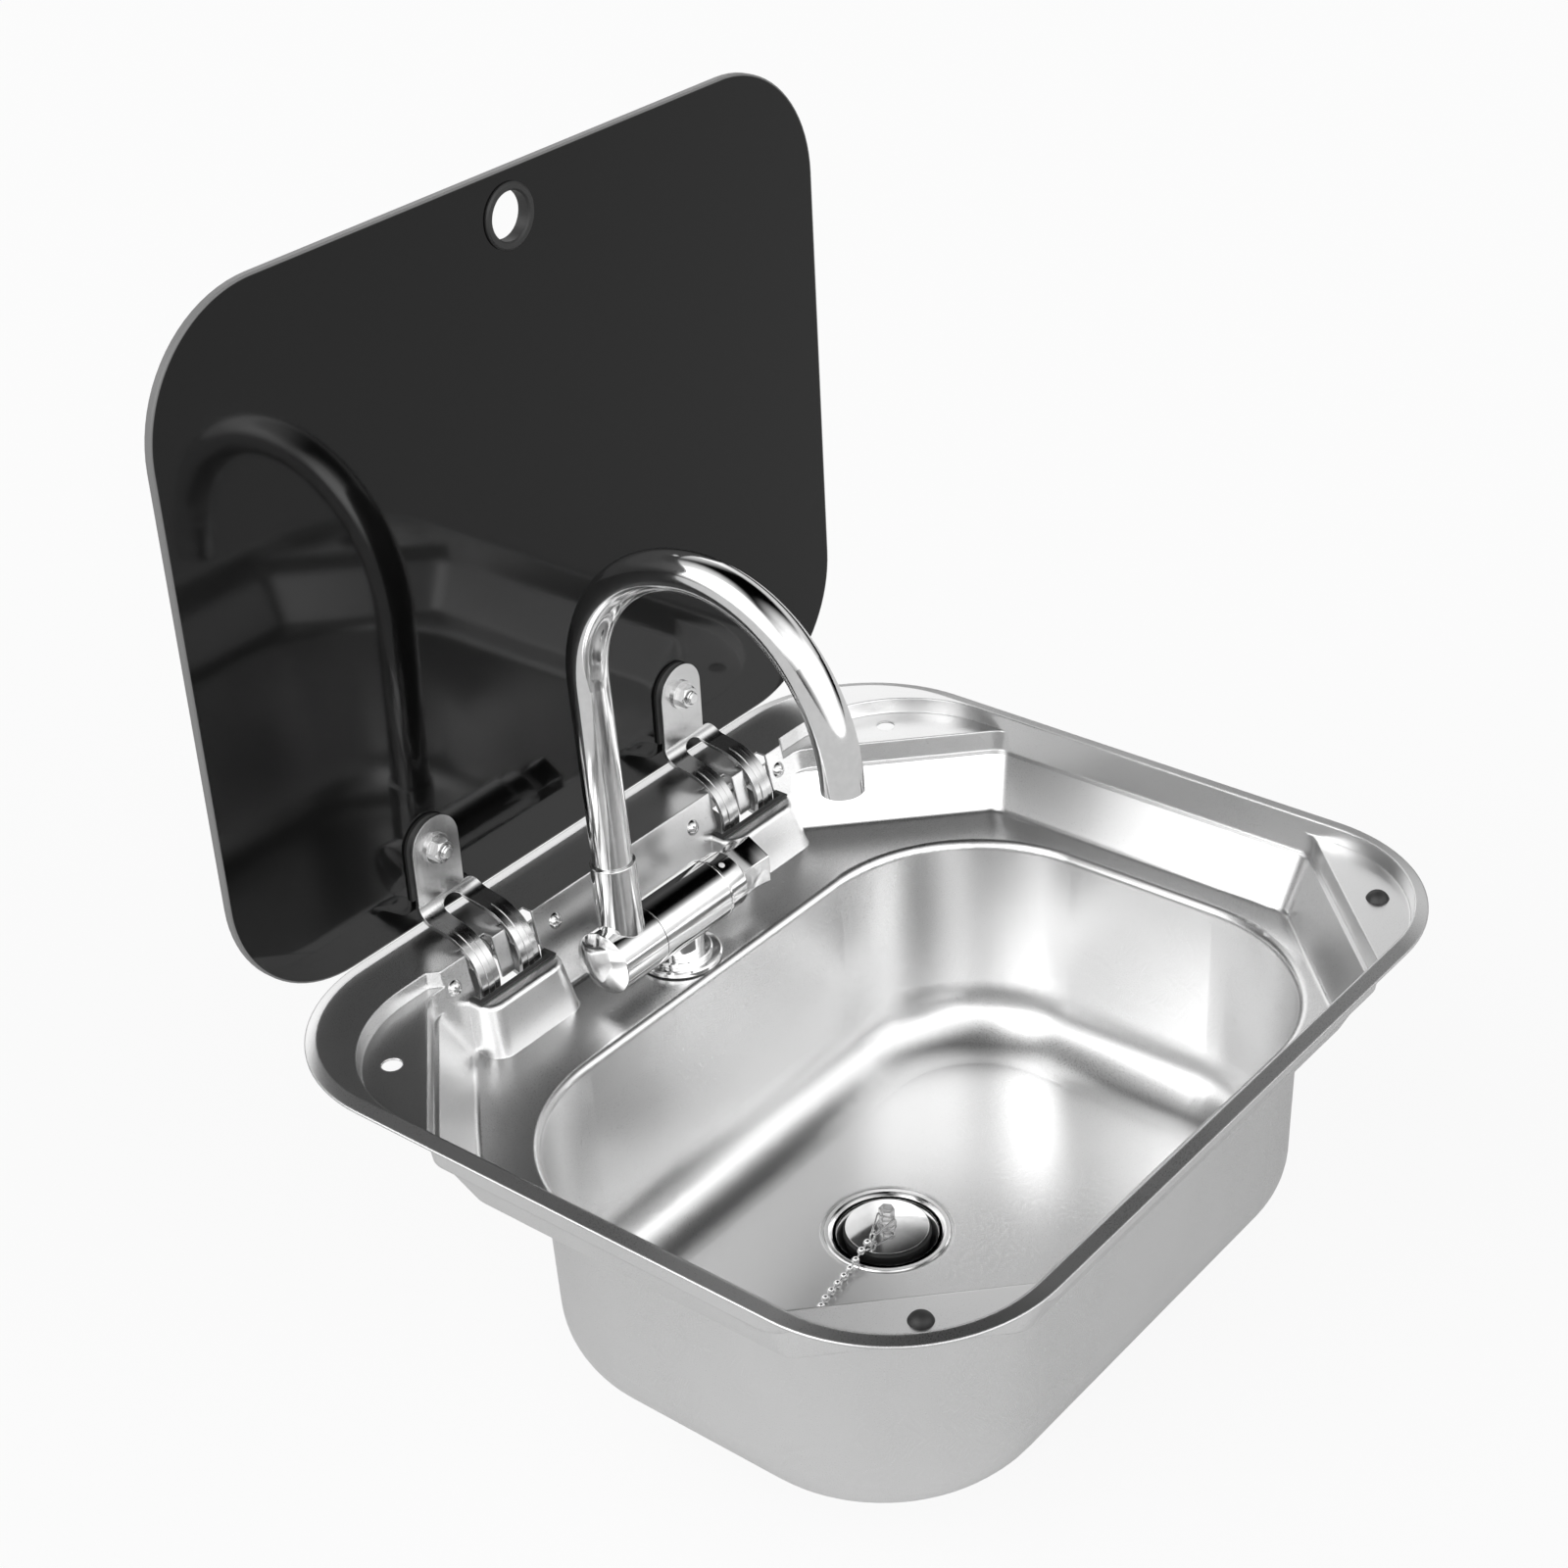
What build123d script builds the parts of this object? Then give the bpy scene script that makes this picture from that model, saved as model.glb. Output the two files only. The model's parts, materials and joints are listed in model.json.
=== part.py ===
from build123d import *
from math import atan2, cos, radians, sin, sqrt, tan
import os

# Drop-in camper-van sink with a folding tap and a hinged glass lid, in millimetres.
# X runs to the right, Y to the rear and Z up. The origin is the centre of the worktop cut-out,
# on the worktop: the lip of the rim stands at Z = 0, and everything below hangs in the cut-out.

# ---------------------------------------------------------------- driving dimensions: the bowl
rim_width = 420.0          # lip to lip along X
rim_depth = 370.0          # lip to lip along Y
rim_radius = 76.0          # corners of the lip
sheet = 0.8                # stainless sheet
lip_height = 0.9           # upright edge of the lip
crest_height = 2.3         # highest line of the rim, and the rear deck
band_width = 7.0           # lip to crest
crest_flat = 0.6           # narrow level strip on the crest
seal_width = 3.3           # seal strip under the band
recess_radius = 66.0       # front corners of the recess
deck_depth = 28.5          # crest at the rear to the front edge of the rear deck
corner_deck_depth = 24.0   # the same behind the two rear corner flats
rear_corner_radius = 65.0
jog_inset = 84.0           # from the crest at the side to where the deck's edge steps back
jog_radius = 2.0
flat_depth = 5.0           # corner flats, below the lip
step_depth = 15.5          # shoulder half way down the recess wall
step_width = 2.0
ledge_depth = 41.0         # the ledge round the basin
upper_lean = 2.4           # how far the wall leans in from the crest to the shoulder
wall_run = 17.0            # how far the side and front walls come in, crest to ledge
rear_wall_run = 9.5        # the same for the rear wall
rear_flat_leg = 79.3       # short sides of a rear corner flat's triangle
front_flat_leg = 78.3      # the same at the front
rear_chord_run = 17.0      # how far the slanting corner walls come in, flat to ledge
front_chord_run = 13.9
recess_corner_radius = 12.0
foot_radius = 3.0          # recess wall into ledge
side_ledge = 16.0          # ledge beside the basin, foot of the wall to the basin
front_ledge = 14.0
rear_ledge = 47.5
basin_corner_radius = 80.0
basin_floor_depth = 151.0
basin_draft = 2.9          # the walls come in this much over their height
basin_floor_radius = 30.0
mouth_radius = 4.0         # ledge into basin wall

# ---------------------------------------------------------------- driving dimensions: the drain
drain_press_radius = 31.0
drain_press_depth = 1.2
drain_hole_radius = 24.0
waste_rim_radius = 29.75
waste_rim_thickness = 1.4
waste_rim_edge = 0.7       # bevel of the rim's outer edge
waste_dish_bevel = 0.9     # bevel into the dish, inwards
waste_dish_drop = 0.5      # and down
waste_flare = 3.0          # the dish closes to the seat over this width
waste_flare_height = 3.4
waste_dish_radius = 26.5
waste_seat_radius = 19.6
waste_dish_depth = 6.8     # rim down to the plug's seat
waste_seat_height = 2.0
waste_bore_radius = 20.6
waste_thread_length = 16.0 # threaded part, below the rim
waste_tail_radius = 20.0   # plain end for the waste hose
waste_tail_bore = 18.0
waste_tail_length = 24.0
waste_nut_radius = 31.0
waste_nut_height = 9.0
waste_lug_count = 8
waste_lug_depth = 4.0
waste_lug_width = 8.0
waste_gasket_thickness = 2.0
plug_cap_radius = 19.5
plug_cap_height = 2.6
plug_cap_rim = 1.2         # upright edge of the cap
plug_rubber_top = 0.8      # the rubber's top, above the basin floor
plug_rubber_radius = 20.6
plug_flare_height = 2.5    # the rubber's thick edge
plug_foot_bevel = 0.8
plug_edge_bevel = 0.5
plug_post_radius = 3.3
plug_post_height = 9.5
plug_post_chamfer = 0.5
plug_foot_margin = 1.2     # foot of the post past the post
plug_foot_height = 0.8
plug_foot_sink = 0.6       # its underside below the top of the domed cap
bead_radius = 2.0
bead_pitch = 5.6
bead_count = 20
chain_route = [(1.0, 0.0), (2.6, 0.0), (7.9, 0.0), (12.5, -2.5), (14.6, -7.6)]  # bead pitches: ahead, aside
chain_bends = [1.6, 1.6, 7.0, 4.5]  # radii of the route's turns, in bead pitches
chain_sag = 0.4            # the second point of the route below the first
chain_wire_radius = 0.5
link_wire_radius = 0.45
link_height = 5.2          # where the wire link passes through the post, above the cap
link_reach = 12.0          # tip of the wire link from the plug's axis
link_tip_half_width = 1.3
link_bend_radius = 1.2
link_tip_radius = 0.7
ring_radius = 2.4
chain_ring_height = 2.9    # centre of the chain's ring above the cap
end_ring_radius = 5.0
end_ring_wire = 0.7

# ---------------------------------------------------------------- driving dimensions: the hinges
hinge_inset = 119.2        # from the crest at the side to the centre of a fork
pivot_behind = 16.5        # pivot behind the deck's front edge
pivot_z = -15.5
pin_radius = 3.0
pin_head_radius = 5.0
pin_head_height = 1.5
arm_width = 11.0
fork_width = 36.5
arm_thickness = 2.0
arm_arc_radius = 23.0      # middle of the strip, about the pivot
arm_arc_top = 100.0        # degrees from +Y
arm_arc_end = 195.0
arm_bend_radius = 8.0
arm_eye_radius = 5.5
arm_rib_width = 3.5
arm_rib_height = 0.4
tab_width = 28.0
tab_offset = -4.0          # tab centre from the fork centre
tab_top = 56.0
fork_shoulder_radius = 7.0
fork_crotch_drop = 2.5     # top of the slot between the arms, below the bend
pocket_top_depth = 17.5
pocket_half_top = 25.5
pocket_half_foot = 28.5
pocket_reach_top = 18.5    # front of the pocket before the deck's front edge, at the top
pocket_reach_foot = 25.0   # and at the ledge
pocket_corner_radius = 9.0
pocket_edge_radius = 2.6
slot_half_width = 23.0
slot_reach = 10.2          # front of the slot before the deck's front edge
notch_left = 1.5           # room left of each arm
notch_right = 5.0          # room right of each arm
notch_depth = 5.5          # notches for the arms, cut back into the deck
liner_thickness = 1.0
liner_lip = 1.5
liner_depth = 3.5
bracket_thickness = 2.0
ear_inner = 20.5
ear_behind = 8.0           # back of the bracket behind the pivot
ear_bottom = -23.0
flange_half_height = 6.0
flange_margin = 1.0        # bracket flange past the screw's head
ear_top = -7.5
screw_outward = 29.9       # outer screw from the centre of its fork
screw_inward = 35.4
screw_z = -8.5
screw_radius = 2.1
screw_head_radius = 4.0
screw_head_height = 2.4
screw_length = 8.5
cross_length = 4.4
cross_width = 0.9
cross_depth = 1.0
screw_nut_flats = 7.0
screw_nut_height = 3.0

# ---------------------------------------------------------------- driving dimensions: the lid
lid_side_margin = 2.0      # glass inside the crest, lid closed
lid_front_margin = 3.5
lid_radius = 61.0
lid_thickness = 4.0
lid_behind = 14.5          # face towards the tap behind the pivot, lid open
lid_bottom_z = 5.0
lid_edge_radius = 0.7
lid_bolt_z = 40.5
lid_bolt_radius = 3.0
lid_sleeve_radius = 4.15
gasket_thickness = 1.5
gasket_overhang = 1.8
gasket_bottom_z = 19.5
nut_flange_radius = 7.2
nut_flange_thickness = 1.3
nut_flats = 10.0
nut_height = 6.0
nut_corner_bevel = 0.2     # the nut's corners, cut back at the top
bolt_end = 2.2             # bolt past the nut
lid_washer_radius = 9.0
lid_washer_thickness = 1.0
lid_head_radius = 7.0
lid_head_height = 2.6
lid_head_round = 1.5
bolt_end_chamfer = 0.6
finger_inset = 20.5        # finger hole from the free edge of the glass
finger_bore_radius = 10.75
finger_hole_radius = 12.2
finger_flange_radius = 14.5
finger_flange_height = 1.6
finger_flange_bevel = 0.8
bumper_inset_x = 31.0      # from the crest at the side
bumper_inset_y = 28.0      # from the crest at the front
bumper_radius = 5.25
bumper_height = 3.7
bumper_stem_radius = 2.9
bumper_foot_radius = 4.5
bumper_foot_height = 2.0
rear_hole_inset_x = 29.9   # from the crest at the side
rear_hole_inset_y = 28.3   # from the rear edge of the corner flat
rear_hole_radius = 4.5

# ---------------------------------------------------------------- driving dimensions: the tap
tap_x = -2.4
tap_behind_basin = 22.2
tap_axis_height = 24.0     # above the ledge
tap_radius = 15.2
tap_body_left = -25.2
tap_body_right = 20.8
tap_collar_width = 1.2
tap_collar_step = 0.25
tap_flange_radius = 20.0
tap_flange_height = 2.6
tap_flange_bevel = 0.8
tap_gasket_thickness = 0.8
tap_step_radius = 15.5
tap_step_height = 2.4
tap_step_bevel = 0.6
tap_neck_radius = 12.0
shank_radius = 9.9
shank_below_ledge = 41.0
shank_below_axis = 13.0    # top of the shank below the barrel's axis
shank_bore = 5.0
back_washer_radius = 15.5
back_washer_thickness = 1.5
back_nut_flats = 27.0
back_nut_height = 8.0
tail_radius = 6.0
tail_length = 20.0
tail_hex_flats = 17.0
tail_hex_height = 6.0
journal_radius = 9.0
journal_length = 8.0
ring_groove_radius = 7.8
ring_section = 1.1
holder_left = -52.7
holder_gap = 0.4
end_cap_bulge = 3.2
spout_x = -38.7
spout_lean = 2.9           # degrees back from upright
socket_radius = 10.5
socket_length = 46.1       # from the body's axis
socket_floor = 20.0        # the tube stands here
set_screw_radius = 1.8
set_screw_height = 36.3
set_screw_key = 1.8        # across the flats of its recess
set_screw_key_depth = 0.8
set_screw_proud = 0.3
tube_radius = 9.2
tube_wall = 1.0
tube_straight = 135.2      # straight run ends here, from the body's axis
bow_radius = 67.0
bow_turn = 145.0
tail_bow_radius = 84.5
tail_bow_turn = 33.4
tube_tip = 6.0
aerator_length = 7.0
aerator_inset = 2.0
aerator_hole_radius = 0.9
aerator_hole_ring = 4.2
aerator_hole_count = 8
aerator_hole_depth = 3.0
cartridge_radius = 10.0
cartridge_left = 3.0
cartridge_wall = 4.0       # left of the stem
stem_radius = 4.0
knob_radius = 13.9
knob_left = 21.4
knob_facets_from = 33.5
knob_right = 52.8
knob_flats = 23.6
knob_end_chamfer = 1.2
knob_bore_depth = 18.0

# ---------------------------------------------------------------- clearances
turning_gap = 0.05         # radial, pin or journal in its bore
side_gap = 0.15            # beside a turning piece
fixed_gap = 0.1            # radial, shank of a fastener in its hole
thread_gap = 0.02          # radial, screwed or pressed together
rest_gap = 0.3             # between a resting piece and its seat
cut_over = 5.0             # how far a cutter runs past what it cuts

# ---------------------------------------------------------------- worked-out places
crest_x = rim_width / 2 - band_width
crest_front = rim_depth / 2 - band_width
recess_height = crest_height + ledge_depth
rear_edge = crest_front - deck_depth
rear_corner_edge = crest_front - corner_deck_depth
jog_start = crest_x - jog_inset
rear_chord = crest_x + rear_corner_edge - rear_flat_leg      # X + Y along the edge of a rear corner flat
front_chord = crest_x + crest_front - front_flat_leg         # X - Y along the edge of a front corner flat
basin_half_width = crest_x - wall_run - side_ledge
basin_front = wall_run + front_ledge - crest_front
basin_rear = rear_edge - rear_wall_run - rear_ledge
hinge_x = crest_x - hinge_inset
pivot_y = rear_edge + pivot_behind
pocket_front_top = rear_edge - pocket_reach_top
pocket_front_foot = rear_edge - pocket_reach_foot
slot_front = rear_edge - slot_reach
notch_back = rear_edge + notch_depth
ear_back = pivot_y + ear_behind
screw_outer_x = hinge_x + screw_outward
screw_inner_x = hinge_x - screw_inward
lid_front_y = pivot_y + lid_behind
lid_width = 2 * (crest_x - lid_side_margin)
lid_height = pivot_y + pivot_z - lid_bottom_z + crest_front - lid_front_margin
finger_z = lid_bottom_z + lid_height - finger_inset
bumper_x = crest_x - bumper_inset_x
bumper_y = bumper_inset_y - crest_front
rear_hole_x = crest_x - rear_hole_inset_x
rear_hole_y = rear_corner_edge - rear_hole_inset_y
tap_y = basin_rear + tap_behind_basin
tap_axis_z = tap_axis_height - ledge_depth
shank_bottom = -ledge_depth - shank_below_ledge
shank_top = tap_axis_z - shank_below_axis
tab_back = lid_front_y - gasket_thickness
tab_middle = tab_back - arm_thickness / 2
tab_front = tab_back - arm_thickness
lid_back_y = lid_front_y + lid_thickness
arm_offset = (fork_width - arm_width) / 2
waste_rim_z = -basin_floor_depth - drain_press_depth
waste_rim_top = waste_rim_z + waste_rim_thickness
plug_cap_z = -basin_floor_depth + plug_rubber_top
tap_base_z = -ledge_depth + tap_gasket_thickness
holder_right = tap_body_left - holder_gap
hinge_sides = {"left": -hinge_x, "right": hinge_x}


# ---------------------------------------------------------------- helpers
def slab(x_range, y_range, z_range):
    """A box between two limits along each axis."""
    size = [limits[1] - limits[0] for limits in (x_range, y_range, z_range)]
    middle = [(limits[0] + limits[1]) / 2 for limits in (x_range, y_range, z_range)]
    return Pos(*middle) * Box(*size)


def upright(radius, bottom, top):
    """A cylinder on the Z axis between two heights."""
    return Pos(0, 0, (bottom + top) / 2) * Cylinder(radius, top - bottom)


def along_x(radius, left, right, y, z):
    """A cylinder parallel to X between two X values."""
    return Pos((left + right) / 2, y, z) * Rot(0, 90, 0) * Cylinder(radius, right - left)


def along_y(radius, front, back, x, z):
    """A cylinder parallel to Y between two Y values."""
    return Pos(x, (front + back) / 2, z) * Rot(90, 0, 0) * Cylinder(radius, back - front)


def hexagon(flats, height):
    """A hexagonal prism standing on the XY plane."""
    return extrude(RegularPolygon(flats / 2, 6, major_radius=False), height)


def turned(points):
    """A solid of revolution about Z from (radius, height) points."""
    outline = Polyline(*[(radius, 0, height) for radius, height in points], close=True)
    return revolve(make_face(outline), Axis.Z)


def loop_at(points, radii, z):
    """A closed outline with rounded corners at one height."""
    return Pos(0, 0, z) * Wire(FilletPolyline(*points, radius=radii, close=True).edges())


def between(lower, upper):
    """The solid with straight walls between two closed outlines."""
    return Part() + Solid.make_loft([lower, upper], ruled=True)


def rectangle_loop(half_x, front, rear, radius, z):
    points = [(half_x, front), (half_x, rear), (-half_x, rear), (-half_x, front)]
    return loop_at(points, radius, z)


# ---------------------------------------------------------------- outlines of the recess
def wall_inset(depth):
    """How far the side and front walls have come in from the crest at a depth below the lip."""
    to_step = crest_height + step_depth
    if depth <= step_depth:
        return upper_lean * (crest_height + depth) / to_step
    shoulder = upper_lean + step_width
    return shoulder + (wall_run - shoulder) * (depth - step_depth) / (ledge_depth - step_depth)


def rear_wall_y(depth):
    """Front face of the rear wall at a depth below the lip."""
    return rear_edge - rear_wall_run * (crest_height + depth) / recess_height


def octagon_loop(depth, z, grow, past_step=False):
    """Recess outline below the corner flats, grown outwards by a sheet where it is the back face."""
    inset = wall_inset(depth) + (step_width if past_step else 0)
    share = (inset - wall_inset(flat_depth)) / (wall_run - wall_inset(flat_depth))
    side = crest_x - inset + grow
    front = crest_front - inset + grow
    rear = rear_wall_y(depth) + grow
    rear_sum = rear_chord + sqrt(2) * (grow - rear_chord_run * share)
    front_sum = front_chord + sqrt(2) * (grow - front_chord_run * share)
    right = [
        (front_sum - front, -front),
        (side, side - front_sum),
        (side, rear_sum - side),
        (rear_sum - rear, rear),
    ]
    left = [(-x, y) for x, y in reversed(right)]
    return loop_at(right + left, recess_corner_radius + grow, z)


def crest_loop(depth, z, grow):
    """Recess outline from the crest down to the corner flats, with the rear corners set back."""
    inset = wall_inset(depth)
    side = crest_x - inset + grow
    front = crest_front - inset + grow
    deck = rear_wall_y(depth) + grow
    corner = rear_corner_edge - inset + grow
    jog_end = jog_start + corner - deck
    right = [(side, -front), (side, corner), (jog_end, corner), (jog_start, deck)]
    left = [(-x, y) for x, y in reversed(right)]
    front_radius = recess_radius + grow
    rear_radius = rear_corner_radius + grow
    jog = [jog_radius + grow, jog_radius + grow]
    radii = [front_radius, rear_radius] + jog + jog + [rear_radius, front_radius]
    return loop_at(right + left, radii, z)


# ---------------------------------------------------------------- the bowl
def recess_body(grow):
    """The space inside the recess walls, or the same grown by the sheet for their back faces."""
    flat_z = -flat_depth - grow
    step_z = -step_depth - grow
    ledge_z = -ledge_depth - grow
    top = crest_height if grow == 0 else crest_height - sheet
    upper = between(crest_loop(flat_depth, flat_z, grow), crest_loop(-crest_height, top, grow))
    middle = between(
        octagon_loop(step_depth, step_z, grow), octagon_loop(flat_depth - sheet, flat_z + sheet, grow)
    )
    lower = between(
        octagon_loop(ledge_depth, ledge_z, grow),
        octagon_loop(step_depth - sheet, step_z + sheet, grow, past_step=True),
    )
    foot = lower.edges().filter_by_position(Axis.Z, ledge_z - 0.01, ledge_z + 0.01)
    lower = fillet(foot, foot_radius + grow)
    return upper + middle + lower


def basin_body(grow):
    """The space inside the basin, or the same grown by the sheet."""
    floor_z = -basin_floor_depth - grow
    top_z = -ledge_depth + (sheet if grow == 0 else -sheet / 2)
    top = rectangle_loop(
        basin_half_width + grow, basin_front - grow, basin_rear + grow, basin_corner_radius + grow, top_z
    )
    bottom = rectangle_loop(
        basin_half_width - basin_draft + grow,
        basin_front + basin_draft - grow,
        basin_rear - basin_draft + grow,
        basin_corner_radius - basin_draft + grow,
        floor_z,
    )
    body = between(bottom, top)
    floor_edge = body.edges().filter_by_position(Axis.Z, floor_z - 0.01, floor_z + 0.01)
    return fillet(floor_edge, basin_floor_radius + grow)


def round_mouth(body, grow):
    """Round the edge where the ledge turns down into the basin."""
    ledge_z = -ledge_depth - grow
    at_ledge = body.edges().filter_by_position(Axis.Z, ledge_z - 0.01, ledge_z + 0.01)
    limit = basin_half_width + grow + 0.5
    rear = basin_rear + grow + 0.5
    mouth = [e for e in at_ledge if abs(e.center().X) < limit and -limit < e.center().Y < rear]
    mouth = [e for e in mouth if e.bounding_box().min.Y > basin_front - grow - 0.5]
    return fillet(mouth, mouth_radius - grow)


def pocket_body(centre, shrink):
    """The hump round a hinge slot, or the hollow inside it when shrunk by the sheet."""
    top_z = -pocket_top_depth - shrink
    foot_z = -ledge_depth - (sheet * 2 if shrink else sheet / 2)
    back = pivot_y if shrink else rear_edge + sheet / 2
    half_top = pocket_half_top - shrink
    half_foot = pocket_half_foot - shrink
    radius = pocket_corner_radius - shrink

    def loop(half, front, z):
        left = centre - half
        right = centre + half
        corners = [(right, front), (right, back), (left, back), (left, front)]
        return loop_at(corners, [radius, 0, 0, radius], z)

    body = between(
        loop(half_foot, pocket_front_foot + shrink, foot_z), loop(half_top, pocket_front_top + shrink, top_z)
    )
    top_edges = body.edges().filter_by_position(Axis.Z, top_z - 0.01, top_z + 0.01)
    rounded = [e for e in top_edges if e.center().Y < back - 1]
    return fillet(rounded, pocket_edge_radius - shrink / 2)


def wall_frame(x, z):
    """A plane on the front face of the rear wall, its normal to the front, its Y up the wall."""
    tilt = atan2(rear_wall_run, recess_height)
    return Plane(origin=(x, rear_wall_y(-z), z), x_dir=(1, 0, 0), z_dir=(0, -cos(tilt), sin(tilt)))


def wall_back():
    """How far the back face of the rear wall lies behind its front face."""
    tilt = atan2(rear_wall_run, recess_height)
    return sheet * (cos(tilt) + sin(tilt))


def screw_places():
    """The four places on the rear wall where the hinge brackets are screwed on."""
    return [wall_frame(side * x, screw_z) for side in (-1, 1) for x in (screw_inner_x, screw_outer_x)]


def rim_body():
    """The lip, the rising band, the crest and the rear deck, as a sheet."""
    half_x = rim_width / 2
    half_y = rim_depth / 2
    crest_half_x = crest_x + crest_flat
    crest_half_y = crest_front + crest_flat
    outer_low = rectangle_loop(half_x, -half_y, half_y, rim_radius, 0)
    outer_mid = rectangle_loop(half_x, -half_y, half_y, rim_radius, lip_height)
    crest_radius = recess_radius + crest_flat
    outer_top = rectangle_loop(crest_half_x, -crest_half_y, crest_half_y, crest_radius, crest_height)
    outside = between(outer_low, outer_mid) + between(outer_mid, outer_top)
    return outside - under_rim()


def under_rim():
    """The hollow under the rim sheet."""
    half_x = rim_width / 2 - sheet
    half_y = rim_depth / 2 - sheet
    radius = rim_radius - sheet
    crest_half_x = crest_x + crest_flat
    crest_half_y = crest_front + crest_flat
    crest_radius = recess_radius + crest_flat
    low = rectangle_loop(half_x, -half_y, half_y, radius, -cut_over)
    mid = rectangle_loop(half_x, -half_y, half_y, radius, lip_height - sheet)
    top = rectangle_loop(
        crest_half_x, -crest_half_y, crest_half_y, crest_radius, crest_height - sheet
    )
    return between(low, mid) + between(mid, top)


def arm_centres(centre):
    return (centre - arm_offset, centre + arm_offset)


def sink_bowl():
    """One pressed sheet: rim, recess, hinge pockets, ledge, basin and drain seat."""
    drain_z = -basin_floor_depth - drain_press_depth
    outside = round_mouth(recess_body(sheet) + basin_body(sheet), sheet)
    outside += upright(drain_press_radius + sheet, drain_z - sheet, -basin_floor_depth)
    inside = round_mouth(recess_body(0) + basin_body(0), 0)
    inside += upright(drain_press_radius, drain_z, -basin_floor_depth)
    for centre in hinge_sides.values():
        inside -= pocket_body(centre, 0)
    above = between(
        crest_loop(-crest_height, crest_height, 0), crest_loop(-crest_height, crest_height + cut_over, 0)
    )
    bowl = rim_body() + outside - inside - above
    for centre in hinge_sides.values():
        bowl -= pocket_body(centre, sheet)
        bowl -= slab(
            (centre - slot_half_width, centre + slot_half_width),
            (slot_front, notch_back),
            (-pocket_top_depth - cut_over, -pocket_top_depth),
        )
        for arm in arm_centres(centre):
            bowl -= slab(
                (arm - arm_width / 2 - notch_left, arm + arm_width / 2 + notch_right),
                (slot_front, notch_back),
                (-pocket_top_depth - cut_over, crest_height + cut_over),
            )
    bowl -= upright(drain_hole_radius, drain_z - cut_over, -basin_floor_depth)
    bowl -= Pos(tap_x, tap_y, -ledge_depth) * Cylinder(shank_radius + fixed_gap, cut_over)
    for side in (-1, 1):
        flat = Pos(0, 0, -flat_depth)
        bowl -= flat * Pos(side * rear_hole_x, rear_hole_y, 0) * Cylinder(rear_hole_radius, cut_over)
        bowl -= flat * Pos(side * bumper_x, bumper_y, 0) * Cylinder(bumper_stem_radius + fixed_gap, cut_over)
    for place in screw_places():
        bowl -= place * Cylinder(screw_radius + fixed_gap, cut_over)
    return bowl


def rim_seal():
    """Seal strip under the band, level with the lip."""
    outer = sheet + fixed_gap
    inner = outer + seal_width
    half_x = rim_width / 2
    half_y = rim_depth / 2

    def ring(inset, bottom, top):
        loops = [
            rectangle_loop(half_x - inset, inset - half_y, half_y - inset, rim_radius - inset, z)
            for z in (bottom, top)
        ]
        return between(*loops)

    strip = ring(outer, 0, crest_height) - ring(inner, -1, crest_height + 1)
    return strip & under_rim()


def lid_bumpers():
    """Two rubber buttons on the front corner flats, each with a stem and a foot."""
    dome_radius = (bumper_radius**2 + bumper_height**2) / (2 * bumper_height)
    ball = Pos(0, 0, bumper_height - dome_radius) * Sphere(dome_radius)
    dome = ball & upright(bumper_radius, 0, bumper_height)
    stem = upright(bumper_stem_radius, -sheet, 0)
    foot = upright(bumper_foot_radius, -sheet - bumper_foot_height, -sheet)
    button = dome + stem + foot
    return [Pos(side * bumper_x, bumper_y, -flat_depth) * button for side in (-1, 1)]


# ---------------------------------------------------------------- the hinges
def pocket_liner(centre):
    """Rubber edging round the front and the ends of a hinge slot."""
    back = rear_wall_y(pocket_top_depth) - rest_gap
    top = -pocket_top_depth

    def channel(half, front, bottom, upper):
        return slab((centre - half, centre + half), (front, back), (bottom, upper))

    lip = channel(slot_half_width + liner_lip, slot_front - liner_lip, top, top + liner_thickness)
    collar = channel(slot_half_width, slot_front, top - liner_depth, top)
    bore = slab(
        (centre - slot_half_width + liner_thickness, centre + slot_half_width - liner_thickness),
        (slot_front + liner_thickness, back + cut_over),
        (top - liner_depth - 1, top + liner_thickness + 1),
    )
    return lip + collar - bore


def hinge_bracket(centre):
    """A U-shaped bracket behind the rear wall: two screwed flanges, two ears and a rear web."""
    side = 1 if centre > 0 else -1
    inner_reach = hinge_x - screw_inner_x + screw_head_radius + flange_margin
    outer_reach = screw_outer_x - hinge_x + screw_head_radius + flange_margin
    reach = {-side: inner_reach, side: outer_reach}
    ear_outer = ear_inner + bracket_thickness
    front = wall_frame(centre, screw_z)
    width = (centre - ear_outer, centre + ear_outer)
    bracket = slab(width, (ear_back - bracket_thickness, ear_back), (ear_bottom, ear_top))
    for way in (-1, 1):
        ear = slab((0, bracket_thickness), (slot_front, ear_back), (ear_bottom, ear_top))
        bracket += Pos(centre + (ear_inner if way > 0 else -ear_outer), 0, 0) * ear
    deep = 2 * (pivot_y - slot_front)
    bracket -= front * Pos(0, 0, deep / 2 - wall_back()) * Box(4 * reach[1] + 4 * reach[-1], 4 * deep, deep)
    for way in (-1, 1):
        middle = way * (ear_inner + reach[way]) / 2
        flange = Box(reach[way] - ear_inner, 2 * flange_half_height, bracket_thickness)
        bracket += front * Pos(middle, 0, -wall_back() - bracket_thickness / 2) * flange
    for place in screw_places():
        bracket -= place * Cylinder(screw_radius + fixed_gap, 4 * bracket_thickness)
    reach_x = ear_outer + 1
    bracket -= along_x(pin_radius + fixed_gap, centre - reach_x, centre + reach_x, pivot_y, pivot_z)
    return bracket


def hinge_pin(centre):
    """Pivot pin through both ears, with a head outside each."""
    half = ear_inner + bracket_thickness
    reach = half + pin_head_height
    pin = along_x(pin_radius, centre - reach, centre + reach, pivot_y, pivot_z)
    for way in (-1, 1):
        ends = sorted((centre + way * half, centre + way * reach))
        pin += along_x(pin_head_radius, ends[0], ends[1], pivot_y, pivot_z)
    return pin


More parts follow.
